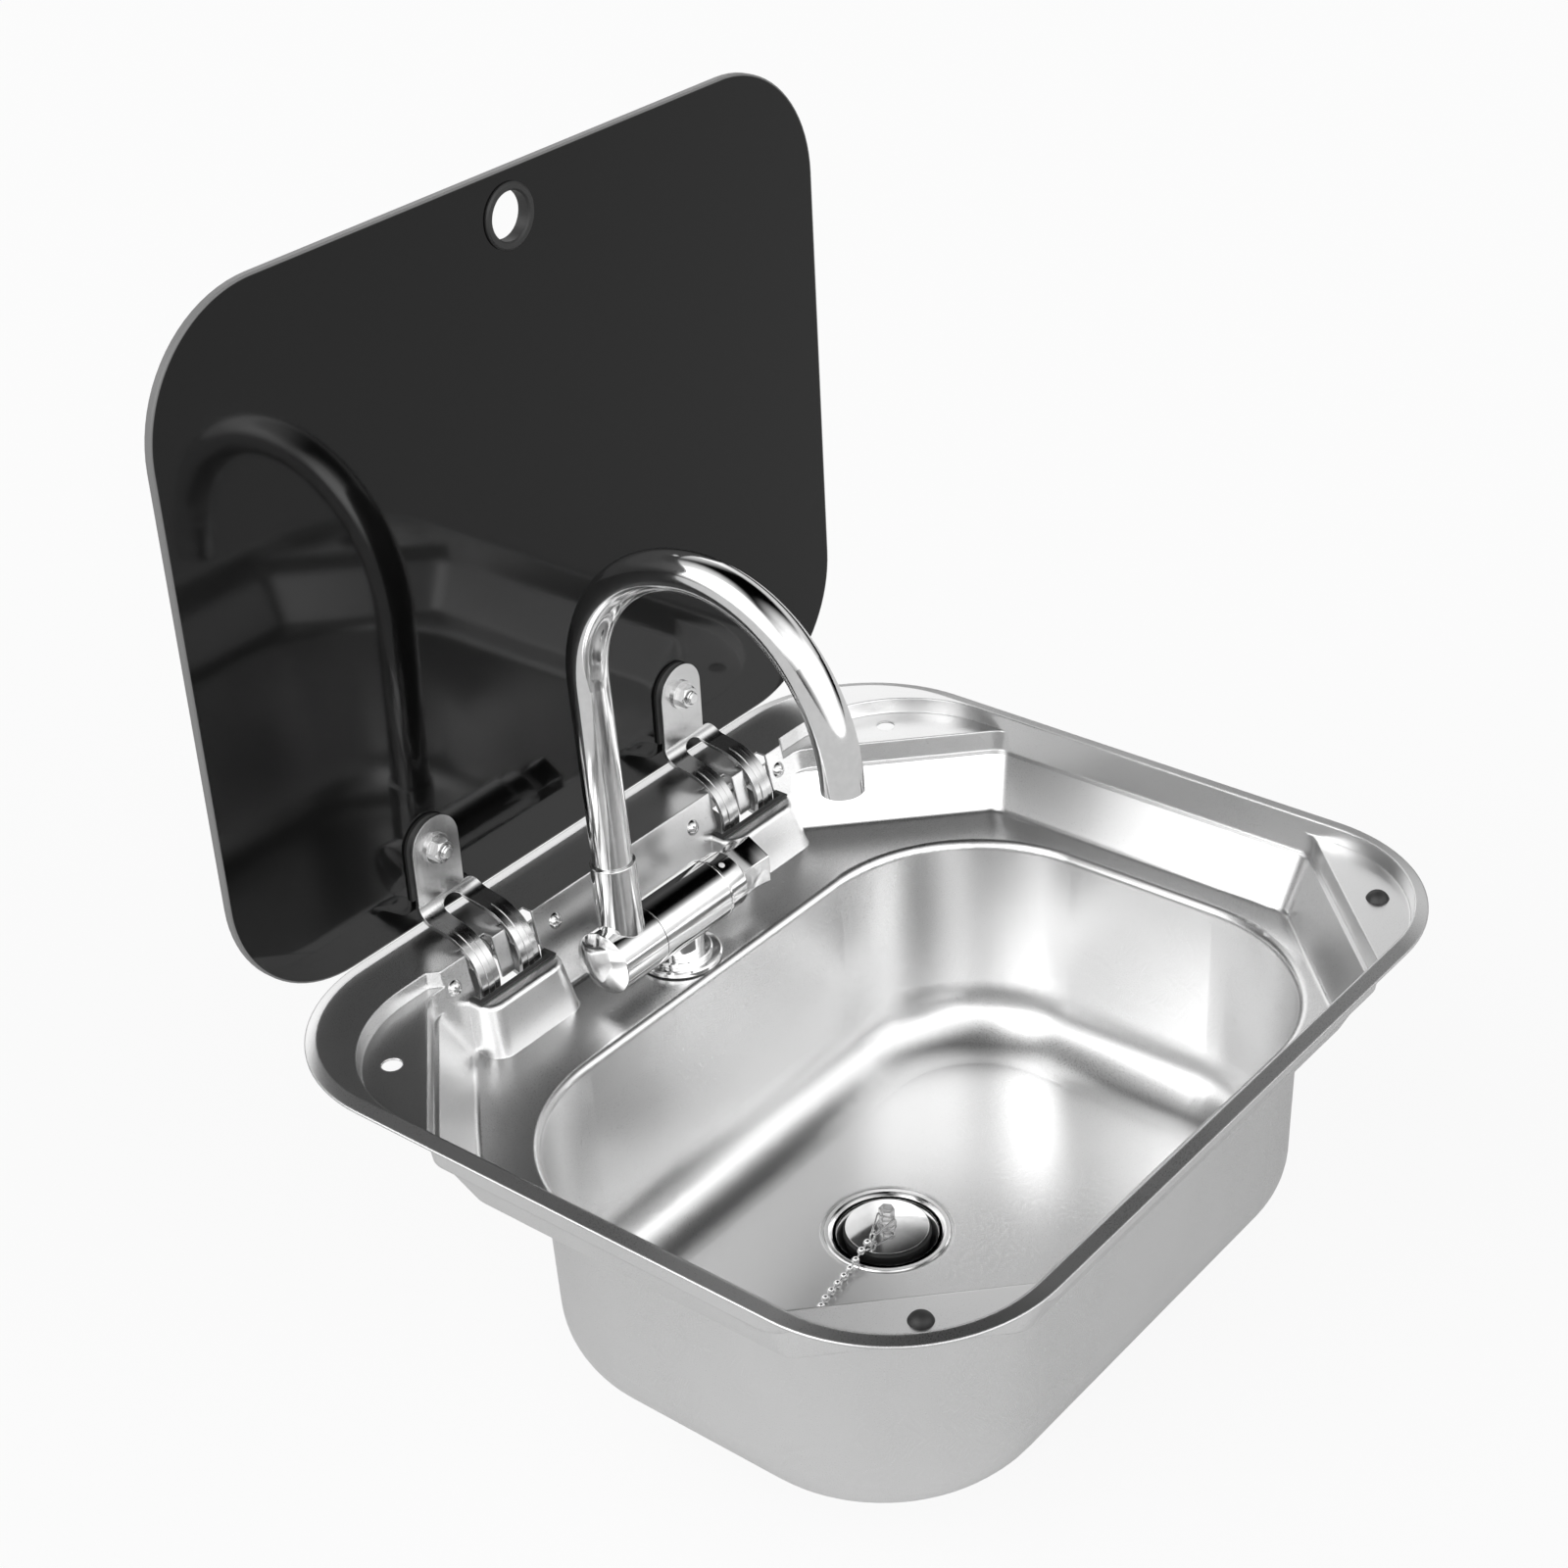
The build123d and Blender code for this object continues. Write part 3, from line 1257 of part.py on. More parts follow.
# ---------------------------------------------------------------- all nodes
def nodes():
    made = {
        "sink_bowl": sink_bowl(),
        "rim_seal": rim_seal(),
        "lid_bumpers": lid_bumpers(),
        "wall_screws": wall_screws(),
        "wall_screw_nuts": wall_nuts(),
        "glass_lid": glass_lid(),
        "finger_grommet": finger_grommet(),
        "lid_bolts": lid_bolts(),
        "lid_bolt_washers": lid_washers(),
        "lid_bolt_sleeves": lid_sleeves(),
        "lid_nuts": lid_nuts(),
        "tap_gasket": tap_gasket(),
        "tap_base_flange": tap_base_flange(),
        "tap_body": tap_body(),
        "valve_cartridge": valve_cartridge(),
        "tap_shank": tap_shank(),
        "tap_back_washer": back_washer(),
        "tap_back_nut": back_nut(),
        "tap_inlet_tail": inlet_tail(),
        "spout_holder": spout_holder(),
        "holder_end_cap": holder_end_cap(),
        "socket_set_screw": set_screw(),
        "journal_o_ring": journal_ring(),
        "spout_tube": spout_tube(),
        "spout_aerator": spout_aerator(),
        "tap_knob": tap_knob(),
        "valve_stem": valve_stem(),
        "waste_flange": waste_flange(),
        "waste_gasket": waste_gasket(),
        "waste_back_nut": waste_nut(),
        "plug_rubber": plug_rubber(),
        "plug_cap": plug_cap(),
        "plug_post": plug_post(),
        "plug_wire_link": plug_link(),
        "chain_ring": chain_ring(),
        "bead_chain": bead_chain(),
        "chain_end_ring": chain_end_ring(),
    }
    for side, centre in hinge_sides.items():
        made["pocket_liner_" + side] = pocket_liner(centre)
        made["hinge_bracket_" + side] = hinge_bracket(centre)
        made["hinge_pin_" + side] = hinge_pin(centre)
        made["hinge_spacers_" + side] = hinge_spacers(centre)
        made["hinge_arm_" + side] = hinge_arm(centre)
        made["hinge_gasket_" + side] = hinge_gasket(centre)
    return made


def main():
    os.makedirs("parts", exist_ok=True)
    for name, shape in nodes().items():
        pieces = shape if isinstance(shape, list) else [shape]
        solids = [solid for piece in pieces for solid in piece.solids()]
        whole = solids[0] if len(solids) == 1 else Compound(children=solids)
        export_step(whole, os.path.join("parts", name + ".step"))
        print(name, len(solids), round(sum(solid.volume for solid in solids)))


main()
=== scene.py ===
# %% [markdown]
# # A drop-in sink with a glass lid and a folding tap
#
# The sink hangs by its rim in a cut-out of a worktop. Its black glass lid stands open on two forked hinge
# strips, and a swan-neck tap stands on a ledge behind the basin. The solids come ready made and stay where
# they are. This lesson adds what the eye judges: the camera, the light, a finish for every surface, and the
# small pieces whose shape a plain solid only hints at.

import json
import math

import bmesh
import bpy
from mathutils import Matrix, Vector


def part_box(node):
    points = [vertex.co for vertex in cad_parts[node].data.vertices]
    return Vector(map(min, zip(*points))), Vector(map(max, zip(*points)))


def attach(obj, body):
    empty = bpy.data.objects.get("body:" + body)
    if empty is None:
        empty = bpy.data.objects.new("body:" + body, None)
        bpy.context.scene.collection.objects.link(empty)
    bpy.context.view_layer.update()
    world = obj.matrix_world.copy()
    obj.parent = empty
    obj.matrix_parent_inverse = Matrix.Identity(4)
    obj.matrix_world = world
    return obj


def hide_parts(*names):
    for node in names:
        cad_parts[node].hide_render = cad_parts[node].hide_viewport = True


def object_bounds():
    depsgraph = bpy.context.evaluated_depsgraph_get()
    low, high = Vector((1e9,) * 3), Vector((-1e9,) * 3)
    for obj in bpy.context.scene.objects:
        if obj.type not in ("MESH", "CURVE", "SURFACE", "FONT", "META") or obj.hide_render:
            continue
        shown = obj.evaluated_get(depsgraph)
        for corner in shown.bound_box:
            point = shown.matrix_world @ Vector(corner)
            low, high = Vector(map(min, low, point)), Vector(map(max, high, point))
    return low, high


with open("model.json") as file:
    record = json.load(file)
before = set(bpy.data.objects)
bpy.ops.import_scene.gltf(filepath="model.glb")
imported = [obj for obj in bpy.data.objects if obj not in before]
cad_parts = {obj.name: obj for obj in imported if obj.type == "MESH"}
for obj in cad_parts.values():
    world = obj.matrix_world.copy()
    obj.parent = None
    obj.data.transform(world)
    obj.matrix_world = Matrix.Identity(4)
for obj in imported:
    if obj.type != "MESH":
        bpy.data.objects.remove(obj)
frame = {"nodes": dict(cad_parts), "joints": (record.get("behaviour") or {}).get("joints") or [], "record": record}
cad_low, cad_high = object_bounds()
nodes = frame["nodes"]
print("solids:", len(nodes), "from", tuple(cad_low), "to", tuple(cad_high))

# %% [markdown]
# ## The camera
#
# The photograph is square and taken from the front left, looking down. The lens, the place and the three
# turns below put the corners of the rim, the lid and the drain where they lie in the picture. Blender's
# lens is in millimetres on a sensor 36 mm wide, so the focal length in pixels is divided by the picture's
# width.

# %% Camera
MM = 0.001
photo_side = 1600
focal_length_px = 2921.26
sensor_width = 36.0
camera_place = Vector((-809.704, -639.266, 706.644)) * MM
camera_turns = (59.1481, 2.7216, -51.3156)

camera_data = bpy.data.cameras.new("photo_camera")
camera_data.sensor_width = sensor_width
camera_data.lens = focal_length_px / photo_side * sensor_width
camera = bpy.data.objects.new("photo_camera", camera_data)
camera.location = camera_place
camera.rotation_euler = [math.radians(turn) for turn in camera_turns]
bpy.context.scene.collection.objects.link(camera)
bpy.context.scene.camera = camera
print("lens", round(camera_data.lens, 2), "mm")

# %% [markdown]
# ## A small language for materials
#
# A material is a graph of nodes, and sums in it are Math nodes. Written out one by one they hide the idea,
# so a small class wraps an output socket and overloads Python's operators: `1 - mask` then adds the node by
# itself. Everything else is made by one method that sets a node's settings first and then its sockets. The
# sky uses the same class, with the world's nodes in place of a material's.


# %% Shader helper
class Wire:
    """An output socket of a material's graph. Operators on it add Math nodes."""

    def __init__(self, graph, socket):
        self.graph = graph
        self.socket = socket

    def _math(self, operation, first, second):
        return self.graph.add("ShaderNodeMath", {"operation": operation}, {0: first, 1: second})

    def __add__(self, other):
        return self._math("ADD", self, other)

    def __radd__(self, other):
        return self._math("ADD", other, self)

    def __sub__(self, other):
        return self._math("SUBTRACT", self, other)

    def __rsub__(self, other):
        return self._math("SUBTRACT", other, self)

    def __mul__(self, other):
        return self._math("MULTIPLY", self, other)

    def __rmul__(self, other):
        return self._math("MULTIPLY", other, self)

    def __truediv__(self, other):
        return self._math("DIVIDE", self, other)

    def __abs__(self):
        return self._math("ABSOLUTE", self, 0.0)

    def at_least(self, other):
        return self._math("MAXIMUM", self, other)

    def rise(self, start, end):
        """0 below start, 1 above end, and a smooth step between them."""
        settings = {"interpolation_type": "SMOOTHSTEP"}
        sockets = {"Value": self, "From Min": start, "From Max": end}
        return self.graph.add("ShaderNodeMapRange", settings, sockets)


class Graph:
    """The nodes of one material, with a Principled shader at their end, or those of the world."""

    def __init__(self, name, world=None):
        self.material = world or bpy.data.materials.new(name)
        self.material.use_nodes = True
        self.tree = self.material.node_tree
        self.shader = self.tree.nodes["Background" if world else "Principled BSDF"]

    def add(self, kind, settings=None, sockets=None, output=0):
        """Add a node: its settings first, then a value or a link for each socket."""
        node = self.tree.nodes.new(kind)
        for name, value in (settings or {}).items():
            setattr(node, name, value)
        for name, value in (sockets or {}).items():
            self.feed(node.inputs[name], value)
        return Wire(self, node.outputs[output])

    def feed(self, socket, value):
        if isinstance(value, Wire):
            self.tree.links.new(value.socket, socket)
        else:
            socket.default_value = value

    def set(self, **sockets):
        """Give the Principled shader its sockets, with _ for a space in a socket's name."""
        for name, value in sockets.items():
            self.feed(self.shader.inputs[name.replace("_", " ")], value)

    def place(self):
        """Object coordinates, which are the frame's own metres."""
        return self.add("ShaderNodeTexCoord", output="Object")

    def split(self, vector):
        return [self.add("ShaderNodeSeparateXYZ", sockets={0: vector}, output=axis) for axis in "XYZ"]

    def stretched(self, scale):
        """Object coordinates with a scale for each axis, for grain that runs one way."""
        return self.add("ShaderNodeMapping", sockets={"Vector": self.place(), "Scale": scale})

    def noise(self, scale, detail=2.0, vector=None):
        sockets = {"Vector": vector or self.place(), "Scale": scale, "Detail": detail}
        return self.add("ShaderNodeTexNoise", sockets=sockets)

    def blend(self, mask, first, second):
        """A colour between two, by a mask."""
        return self.add("ShaderNodeMix", {"data_type": "RGBA"}, {0: mask, 6: first, 7: second}, output=2)

    def bump(self, height, depth, under=None):
        """Relief of a depth in metres on top of another normal."""
        sockets = {"Height": height, "Distance": depth, "Strength": 1.0}
        if under:
            sockets["Normal"] = under
        return self.add("ShaderNodeBump", sockets=sockets)

    def soft_edges(self, radius):
        """A normal that turns smoothly over the edges, as on pressed or ground metal."""
        return self.add("ShaderNodeBevel", {"samples": 6}, {"Radius": radius})


def grey(level):
    return (level, level, level, 1.0)


print("shader helper ready")

# %% [markdown]
# ## Light, floor and surroundings
#
# Metal shows its surroundings, so these are half of its finish. A wide pale floor fills the picture,
# because the camera looks down. The sky is bright in a band and in a few patches and dark elsewhere, as in
# a studio with soft windows, and that gives the steel its range from white to grey. Lamps could be hung for
# each bright stripe, but polished metal would mirror their edges. A sky that is drawn by direction is
# quicker to shape and has no edges, so there are no lamps.

# %% Floor
floor_gap = 0.0005
floor_reach = 60.0

floor_height = cad_low.z - floor_gap
floor_mesh = bpy.data.meshes.new("studio_floor")
shape = bmesh.new()
bmesh.ops.create_grid(shape, x_segments=1, y_segments=1, size=floor_reach)
bmesh.ops.translate(shape, verts=shape.verts, vec=(0, 0, floor_height))
shape.to_mesh(floor_mesh)
shape.free()
floor = bpy.data.objects.new("studio_floor", floor_mesh)
bpy.context.scene.collection.objects.link(floor)
print("floor at", round(floor_height, 4), "m")

# %% [markdown]
# The floor is a plain pale paper. For the camera a part of its colour is given as light of strength 1, so
# that it reads as white while the shadow under the sink still shows. Metal, glass and the other surfaces
# see only the matt paper, so it adds no light of its own to the object, and the outer walls stand out
# against the white.

# %% Floor finish
white_share = 0.90
paper_colour = grey(0.60)
camera_white = grey(1.0)

paper = Graph("studio_paper")
seen = paper.add("ShaderNodeLightPath", output="Is Camera Ray")
paper.set(Base_Color=paper_colour, Roughness=1.0, Specular_IOR_Level=0.0)
glow = paper.add("ShaderNodeEmission", sockets={"Color": camera_white, "Strength": 1.0})
matt = Wire(paper, paper.shader.outputs[0])
mixed = paper.add("ShaderNodeMixShader", sockets={0: seen * white_share, 1: matt, 2: glow})
paper.feed(paper.tree.nodes["Material Output"].inputs["Surface"], mixed)
floor_mesh.materials.append(paper.material)
print("the camera sees the floor as", white_share, "white and the rest paper")

# %% [markdown]
# The sky is worked out from the direction that is looked in. A band of light goes all round at about 25
# degrees up, with darkness above it and near the horizon, and a few wide, soft patches lie on it like tall
# windows. The brightest one is at the left. Between the patches the steel shows grey, and that gives the
# basin its soft stripes. The camera itself sees plain white.
#
# The band is given by four heights in degrees: where it starts, is full, starts to fade and ends. A patch
# has a bearing from the X axis and a height, and fades from its inner to its outer angle.

# %% Sky
sky_gain = 1.28
band_level = 0.61
band_edges = (8, 20, 32, 44)
patches = (
    {"name": "left window", "bearing": 165, "height": 32, "inner": 6, "outer": 40, "level": 2.1},
    {"name": "front window", "bearing": 268, "height": 22, "inner": 8, "outer": 62, "level": 1.35},
    {"name": "camera side", "bearing": 215, "height": 28, "inner": 4, "outer": 36, "level": 0.5},
    {"name": "rear window", "bearing": 55, "height": 28, "inner": 4, "outer": 34, "level": 0.6},
    {"name": "high rear", "bearing": 140, "height": 52, "inner": 4, "outer": 36, "level": 0.7},
)

world = bpy.data.worlds.new("studio_sky")
bpy.context.scene.world = world
sky = Graph("studio_sky", world)
direction = sky.add("ShaderNodeTexCoord", output="Generated")
upness = sky.split(direction)[2]
low_start, low_end, high_start, high_end = [math.sin(math.radians(edge)) for edge in band_edges]
level = upness.rise(low_start, low_end) * (1 - upness.rise(high_start, high_end)) * band_level
for patch in patches:
    bearing, height = math.radians(patch["bearing"]), math.radians(patch["height"])
    way = Vector((math.cos(bearing), math.sin(bearing), math.tan(height))).normalized()
    product = {"operation": "DOT_PRODUCT"}
    towards = sky.add("ShaderNodeVectorMath", product, {0: direction, 1: way}, output="Value")
    inner, outer = [math.cos(math.radians(patch[rim])) for rim in ("inner", "outer")]
    level = level + towards.rise(outer, inner) * patch["level"]
    print(patch["name"], "adds", patch["level"])
watched = sky.add("ShaderNodeLightPath", output="Is Camera Ray")
sky.set(Color=sky.blend(watched, level * sky_gain, camera_white))

# %% [markdown]
# The picture is made in Blender's Standard view. A film-like view would bend the bright steel and the floor
# towards grey, and the photograph's whites are plain white.

# %% Picture settings
bpy.context.scene.view_settings.view_transform = "Standard"
print("view:", bpy.context.scene.view_settings.view_transform)


# %% [markdown]
# ## Satin stainless steel
#
# The bowl is pressed from one sheet with a satin skin: reflections are blurred but keep their shape. The
# skin has a fine grain, so a very fine noise moves the roughness and the surface, and a broad, faint one
# keeps large faces from looking flat. A picture of brushed steel would be another way, but noise has no
# seams and its size is a number. Pressed edges are never sharp, which soft edges in the normal give without
# new faces.


# %% Steel
def satin_steel(name, colour, roughness, edge_radius):
    metal = Graph(name)
    grain = metal.noise(2600, 3.0)
    clouds = metal.noise(9, 3.0)
    rough = roughness + (grain - 0.5) * 0.10 + (clouds - 0.5) * 0.06
    shade = metal.blend(clouds.rise(0.3, 0.7), grey(colour - 0.025), grey(colour + 0.02))
    normal = metal.bump(grain, 0.000012, metal.soft_edges(edge_radius))
    metal.set(Base_Color=shade, Metallic=1.0, Roughness=rough, Normal=normal)
    return metal.material


bowl_steel = satin_steel("bowl_satin_steel", 0.76, 0.29, 0.0012)
waste_steel = satin_steel("waste_polished_steel", 0.72, 0.12, 0.0004)
print("steels:", bowl_steel.name, waste_steel.name)


# %% [markdown]
# ## Brushed strip, zinc and chrome
#
# The hinge strips are rolled, so their grain is drawn out along the strip. Zinc plating on screws and nuts
# is brighter and a little uneven. Chrome is close to a mirror: its colour is pale and its roughness is low.
# The two platings differ only in numbers, so one function makes both.


# %% Other metals
def rolled_strip():
    metal = Graph("hinge_rolled_strip")
    lines = metal.noise(900, 3.0, metal.stretched((1.0, 0.02, 0.02)))
    clouds = metal.noise(40, 2.0)
    rough = 0.20 + (lines - 0.5) * 0.18
    shade = metal.blend(clouds, grey(0.52), grey(0.60))
    normal = metal.bump(lines, 0.00002, metal.soft_edges(0.0004))
    metal.set(Base_Color=shade, Metallic=1.0, Roughness=rough, Normal=normal)
    return metal.material


def plated(name, colour, roughness, edge_radius, spread):
    metal = Graph(name)
    clouds = metal.noise(300, 3.0)
    rough = roughness + (clouds - 0.5) * spread
    shade = metal.blend(clouds.rise(0.35, 0.65), grey(colour - 0.02), grey(colour + 0.02))
    metal.set(Base_Color=shade, Metallic=1.0, Roughness=rough, Normal=metal.soft_edges(edge_radius))
    return metal.material


def plain_brass():
    metal = Graph("valve_plain_brass")
    clouds = metal.noise(120, 3.0)
    shade = metal.blend(clouds, (0.62, 0.47, 0.22, 1), (0.74, 0.58, 0.30, 1))
    rough = 0.28 + clouds * 0.1
    metal.set(Base_Color=shade, Metallic=1.0, Roughness=rough, Normal=metal.soft_edges(0.0004))
    return metal.material


strip_steel = rolled_strip()
zinc = plated("bright_zinc", 0.62, 0.13, 0.0002, 0.12)
chrome = plated("tap_mirror_chrome", 0.78, 0.09, 0.0003, 0.03)
chain_chrome = plated("chain_bright_chrome", 0.78, 0.06, 0.0001, 0.05)
brass = plain_brass()
print("metals:", strip_steel.name, zinc.name, chrome.name, chain_chrome.name, brass.name)


# %% [markdown]
# ## Black glass
#
# The lid is tempered glass with a black back. It is glossy, but the photograph shows the tap in it a little
# blurred. Its ground edge is paler and matt. The edge is found from the distance to the outline, which is
# the usual formula for a rounded rectangle, so the finish follows the lid wherever it turns.


# %% Glass
def black_glass(box):
    glass = Graph("lid_black_glass")
    low, high = box
    corner = 0.061  # radius of the lid's corners, in metres
    ground = 0.0006  # width of the ground edge
    x, _, z = glass.split(glass.place())
    middle = (low + high) / 2
    half = (high - low) / 2
    beyond_x = (abs(x - middle.x) - (half.x - corner)).at_least(0.0)
    beyond_z = (abs(z - middle.z) - (half.z - corner)).at_least(0.0)
    squares = beyond_x * beyond_x + beyond_z * beyond_z
    reach = glass.add("ShaderNodeMath", {"operation": "SQRT"}, {0: squares})
    edge = reach.rise(corner - 2 * ground, corner - ground)
    haze = glass.noise(6, 2.0)
    shade = glass.blend(edge, grey(0.003), grey(0.16))
    rough = 0.05 + haze * 0.02 + edge * 0.3
    glass.set(Base_Color=shade, Roughness=rough, IOR=1.45, Specular_IOR_Level=0.36)
    return glass.material


lid_glass = black_glass(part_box("glass_lid"))
print("glass:", lid_glass.name)


# %% [markdown]
# ## Rubber and plastics
#
# Rubber is black, matt and slightly uneven, with a weak sheen where it bends. The plastics are plain, and
# the post of the plug is clear. Full glass would be too dark in so small a piece, so a part of it stays a
# milky solid and the rest lets the light through.


# %% Rubber and plastics
def matt_black(name, colour, roughness, grain_depth):
    rubber = Graph(name)
    grain = rubber.noise(1500, 3.0)
    patches = rubber.noise(60, 2.0)
    shade = rubber.blend(patches, grey(colour), grey(colour * 1.8))
    normal = rubber.bump(grain, grain_depth, rubber.soft_edges(0.0004))
    rubber.set(Base_Color=shade, Roughness=roughness + (patches - 0.5) * 0.12, Normal=normal)
    return rubber.material


def white_plastic():
    plastic = Graph("white_plastic")
    patches = plastic.noise(80, 2.0)
    shade = plastic.blend(patches, grey(0.74), grey(0.8))
    plastic.set(Base_Color=shade, Roughness=0.4 + patches * 0.08, Normal=plastic.soft_edges(0.0003))
    return plastic.material


def clear_plastic():
    plastic = Graph("clear_plastic")
    flow = plastic.noise(150, 2.0)
    shade = plastic.blend(flow, grey(0.78), grey(0.9))
    plastic.set(Base_Color=shade, Roughness=0.12 + flow * 0.08, IOR=1.5, Transmission_Weight=0.75)
    return plastic.material


rubber = matt_black("black_rubber", 0.012, 0.5, 0.00002)
black_plastic = matt_black("black_plastic", 0.02, 0.42, 0.00001)
pale_plastic = white_plastic()
clear = clear_plastic()
print("rubber and plastics:", rubber.name, black_plastic.name, pale_plastic.name, clear.name)

# %% [markdown]
# ## Turned and threaded pieces
#
# The solids carry plain rods where the real ones have a thread, and a plain grip where the real knob has
# worked facets. The new pieces below add these. Two helpers do most of it. A turned piece is half an
# outline, in millimetres, that spins about the Z axis and is merged where the ends meet. A thread is the
# same spin with a small step upwards, so the outline climbs as it goes round and draws a screw.


# %% Piece helpers
origin = (0, 0, 0)
up = (0, 0, 1)
down = (0, 0, -1)


def add_piece(name, shape, finish, body):
    """Turn a finished bmesh into an object that rides on a body, smooth but for its sharp edges."""
    weld = 0.000001
    sharp = math.radians(35)
    bmesh.ops.remove_doubles(shape, verts=shape.verts, dist=weld)
    bmesh.ops.recalc_face_normals(shape, faces=shape.faces)
    mesh = bpy.data.meshes.new(name)
    shape.to_mesh(mesh)
    shape.free()
    mesh.shade_smooth()
    mesh.set_sharp_from_angle(angle=sharp)
    mesh.materials.append(finish)
    piece = bpy.data.objects.new(name, mesh)
    bpy.context.scene.collection.objects.link(piece)
    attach(piece, body)
    print(name, "has", len(mesh.polygons), "faces")
    return piece


def outline_edges(shape, outline, closed):
    """The vertices and edges of a half outline of (radius, height) points, in the XZ plane."""
    points = [shape.verts.new((radius * MM, 0, height * MM)) for radius, height in outline]
    pairs = list(zip(points, points[1:]))
    if closed:
        pairs.append((points[-1], points[0]))
    return points + [shape.edges.new(pair) for pair in pairs]


def open_edges(shape):
    return [edge for edge in shape.edges if edge.is_boundary]


def turned(outline, closed=False, steps=96):
    """Spin a half outline about Z. It is open when it starts and ends on the axis, and closed for a ring."""
    shape = bmesh.new()
    half = outline_edges(shape, outline, closed)
    turn = 2 * math.pi
    bmesh.ops.spin(shape, geom=half, cent=origin, axis=up, angle=turn, steps=steps, use_merge=True)
    return shape


def thread(radius, pitch, start, end):
    """A ridge that winds up a rod, from one height to another, in millimetres.

    Its foot is a little narrower than the pitch, so that two turns never meet.
    """
    steps_in_turn = 48
    foot = radius - 0.1
    crest = radius + 0.5 * pitch
    outline = ((foot, 0), (foot, 0.9 * pitch), (crest, 0.55 * pitch), (crest, 0.35 * pitch))
    turns = (end - start) / pitch - 1
    rise = Vector((0, 0, pitch * MM / steps_in_turn))
    shape = bmesh.new()
    ring = outline_edges(shape, outline, closed=True)
    steps = round(turns * steps_in_turn)
    angle = 2 * math.pi * steps / steps_in_turn
    bmesh.ops.spin(shape, geom=ring, cent=origin, axis=up, dvec=rise, angle=angle, steps=steps)
    bmesh.ops.holes_fill(shape, edges=open_edges(shape), sides=0)
    bmesh.ops.translate(shape, verts=shape.verts, vec=(0, 0, start * MM))
    return shape


def set_down(shape, place, axis):
    """Move a shape that stands on the world's origin to a place, with its Z axis along another axis."""
    turn = Vector(axis).to_track_quat("Z", "Y").to_matrix().to_4x4()
    bmesh.ops.transform(shape, matrix=Matrix.Translation(place) @ turn, verts=shape.verts)
    return shape


print("piece helpers ready")

# %% [markdown]
# ## Threads
#
# The tap is clamped from below on a threaded tube, the waste has a coarse thread for its plastic nut, and
# the two lid bolts stand out of their nuts. A thread could be a bump in the material, but then the mesh
# would still be a smooth rod, so the ridge is a real shape. Its places are read from the solids' boxes
# where they show them, and its foot lies a little under the rod's skin so that no gap shows.

# %% Shank thread
shank_pitch = 1.2
shank_inside_nut = 2.0
shank_chamfer = 0.4

shank_low, shank_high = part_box("tap_shank")
shank_axis = Vector(((shank_low.x + shank_high.x) / 2, (shank_low.y + shank_high.y) / 2, 0))
shank_radius = (shank_high.x - shank_low.x) / 2 / MM
shank_start = -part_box("tap_back_nut")[0].z / MM - shank_inside_nut
shank_winding = thread(shank_radius, shank_pitch, shank_start, -shank_low.z / MM - shank_chamfer)
add_piece("shank_thread", set_down(shank_winding, shank_axis, down), brass, "sink")

# %% Waste thread
waste_pitch = 2.0
waste_tube_radius = 23.9
waste_thread_end = 168.0

waste_start = -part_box("waste_gasket")[0].z / MM
waste_winding = thread(waste_tube_radius, waste_pitch, waste_start, waste_thread_end)
add_piece("waste_thread", set_down(waste_winding, origin, down), waste_steel, "sink")

# %% Bolt threads
bolt_pitch = 0.9
bolt_radius = 3.0
bolt_inside_nut = 1.0
bolt_chamfer = 0.7

bolts_low, bolts_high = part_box("lid_bolts")
bolt_head_radius = (bolts_high.z - bolts_low.z) / 2
bolt_height = (bolts_low.z + bolts_high.z) / 2
bolt_places = {"left": bolts_low.x + bolt_head_radius, "right": bolts_high.x - bolt_head_radius}
nut_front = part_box("lid_nuts")[0].y
bolt_reach = (nut_front - bolts_low.y) / MM
for side, bolt_x in bolt_places.items():
    end = Vector((bolt_x, nut_front, bolt_height))
    winding = thread(bolt_radius, bolt_pitch, -bolt_inside_nut, bolt_reach - bolt_chamfer)
    add_piece("bolt_thread_" + side, set_down(winding, end, (0, -1, 0)), zinc, "lid")

# %% [markdown]
# ## The control knob
#
# On the real tap the knob has a round shoulder beside the body's collar and a six-sided grip. The facets of
# the grip are slightly hollow along their length and its end is dished, so its outline flares towards the
# end. A plain hexagon would reflect as six even bands, and these hollows are what break the bands up. The
# shoulder is a turned piece. The grip could be cut from a rod with six scoops, but cuts leave untidy faces,
# so it is a six-sided tube drawn out in steps, each ring a little wider or narrower, with bevelled edges.

# %% Knob shoulder
knob_low, knob_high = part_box("tap_knob")
knob_joint = next(joint for joint in frame["joints"] if joint["name"] == "knob_turn")
knob_axis = Vector(knob_joint["axis"])
knob_middle = Vector(knob_joint["pos_m"])
knob_start = Vector((knob_low.x, knob_middle.y, knob_middle.z))
knob_radius = (knob_high.z - knob_low.z) / 2 / MM
facets_from = 12.1
stem_bore = 4.1
shoulder_bevel = 0.4
round_over = 1.4
round_steps = 6

shoulder_outline = [(stem_bore, 0.0), (knob_radius - shoulder_bevel, 0.0), (knob_radius, shoulder_bevel)]
for step in range(round_steps + 1):
    turn = math.pi / 2 * step / round_steps
    radius = knob_radius - round_over * (1 - math.cos(turn))
    shoulder_outline.append((radius, facets_from - round_over * (1 - math.sin(turn))))
shoulder_outline.append((stem_bore, facets_from))
shoulder = set_down(turned(shoulder_outline, closed=True), knob_start, knob_axis)
shoulder_piece = add_piece("knob_shoulder", shoulder, chrome, "knob")
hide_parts("tap_knob")

# %% [markdown]
# Each ring of the grip is a height along the knob and how much wider than the flats it is. The end is
# dished by insets, each a width and a depth: a flat rim, a slope and a gentler slope.

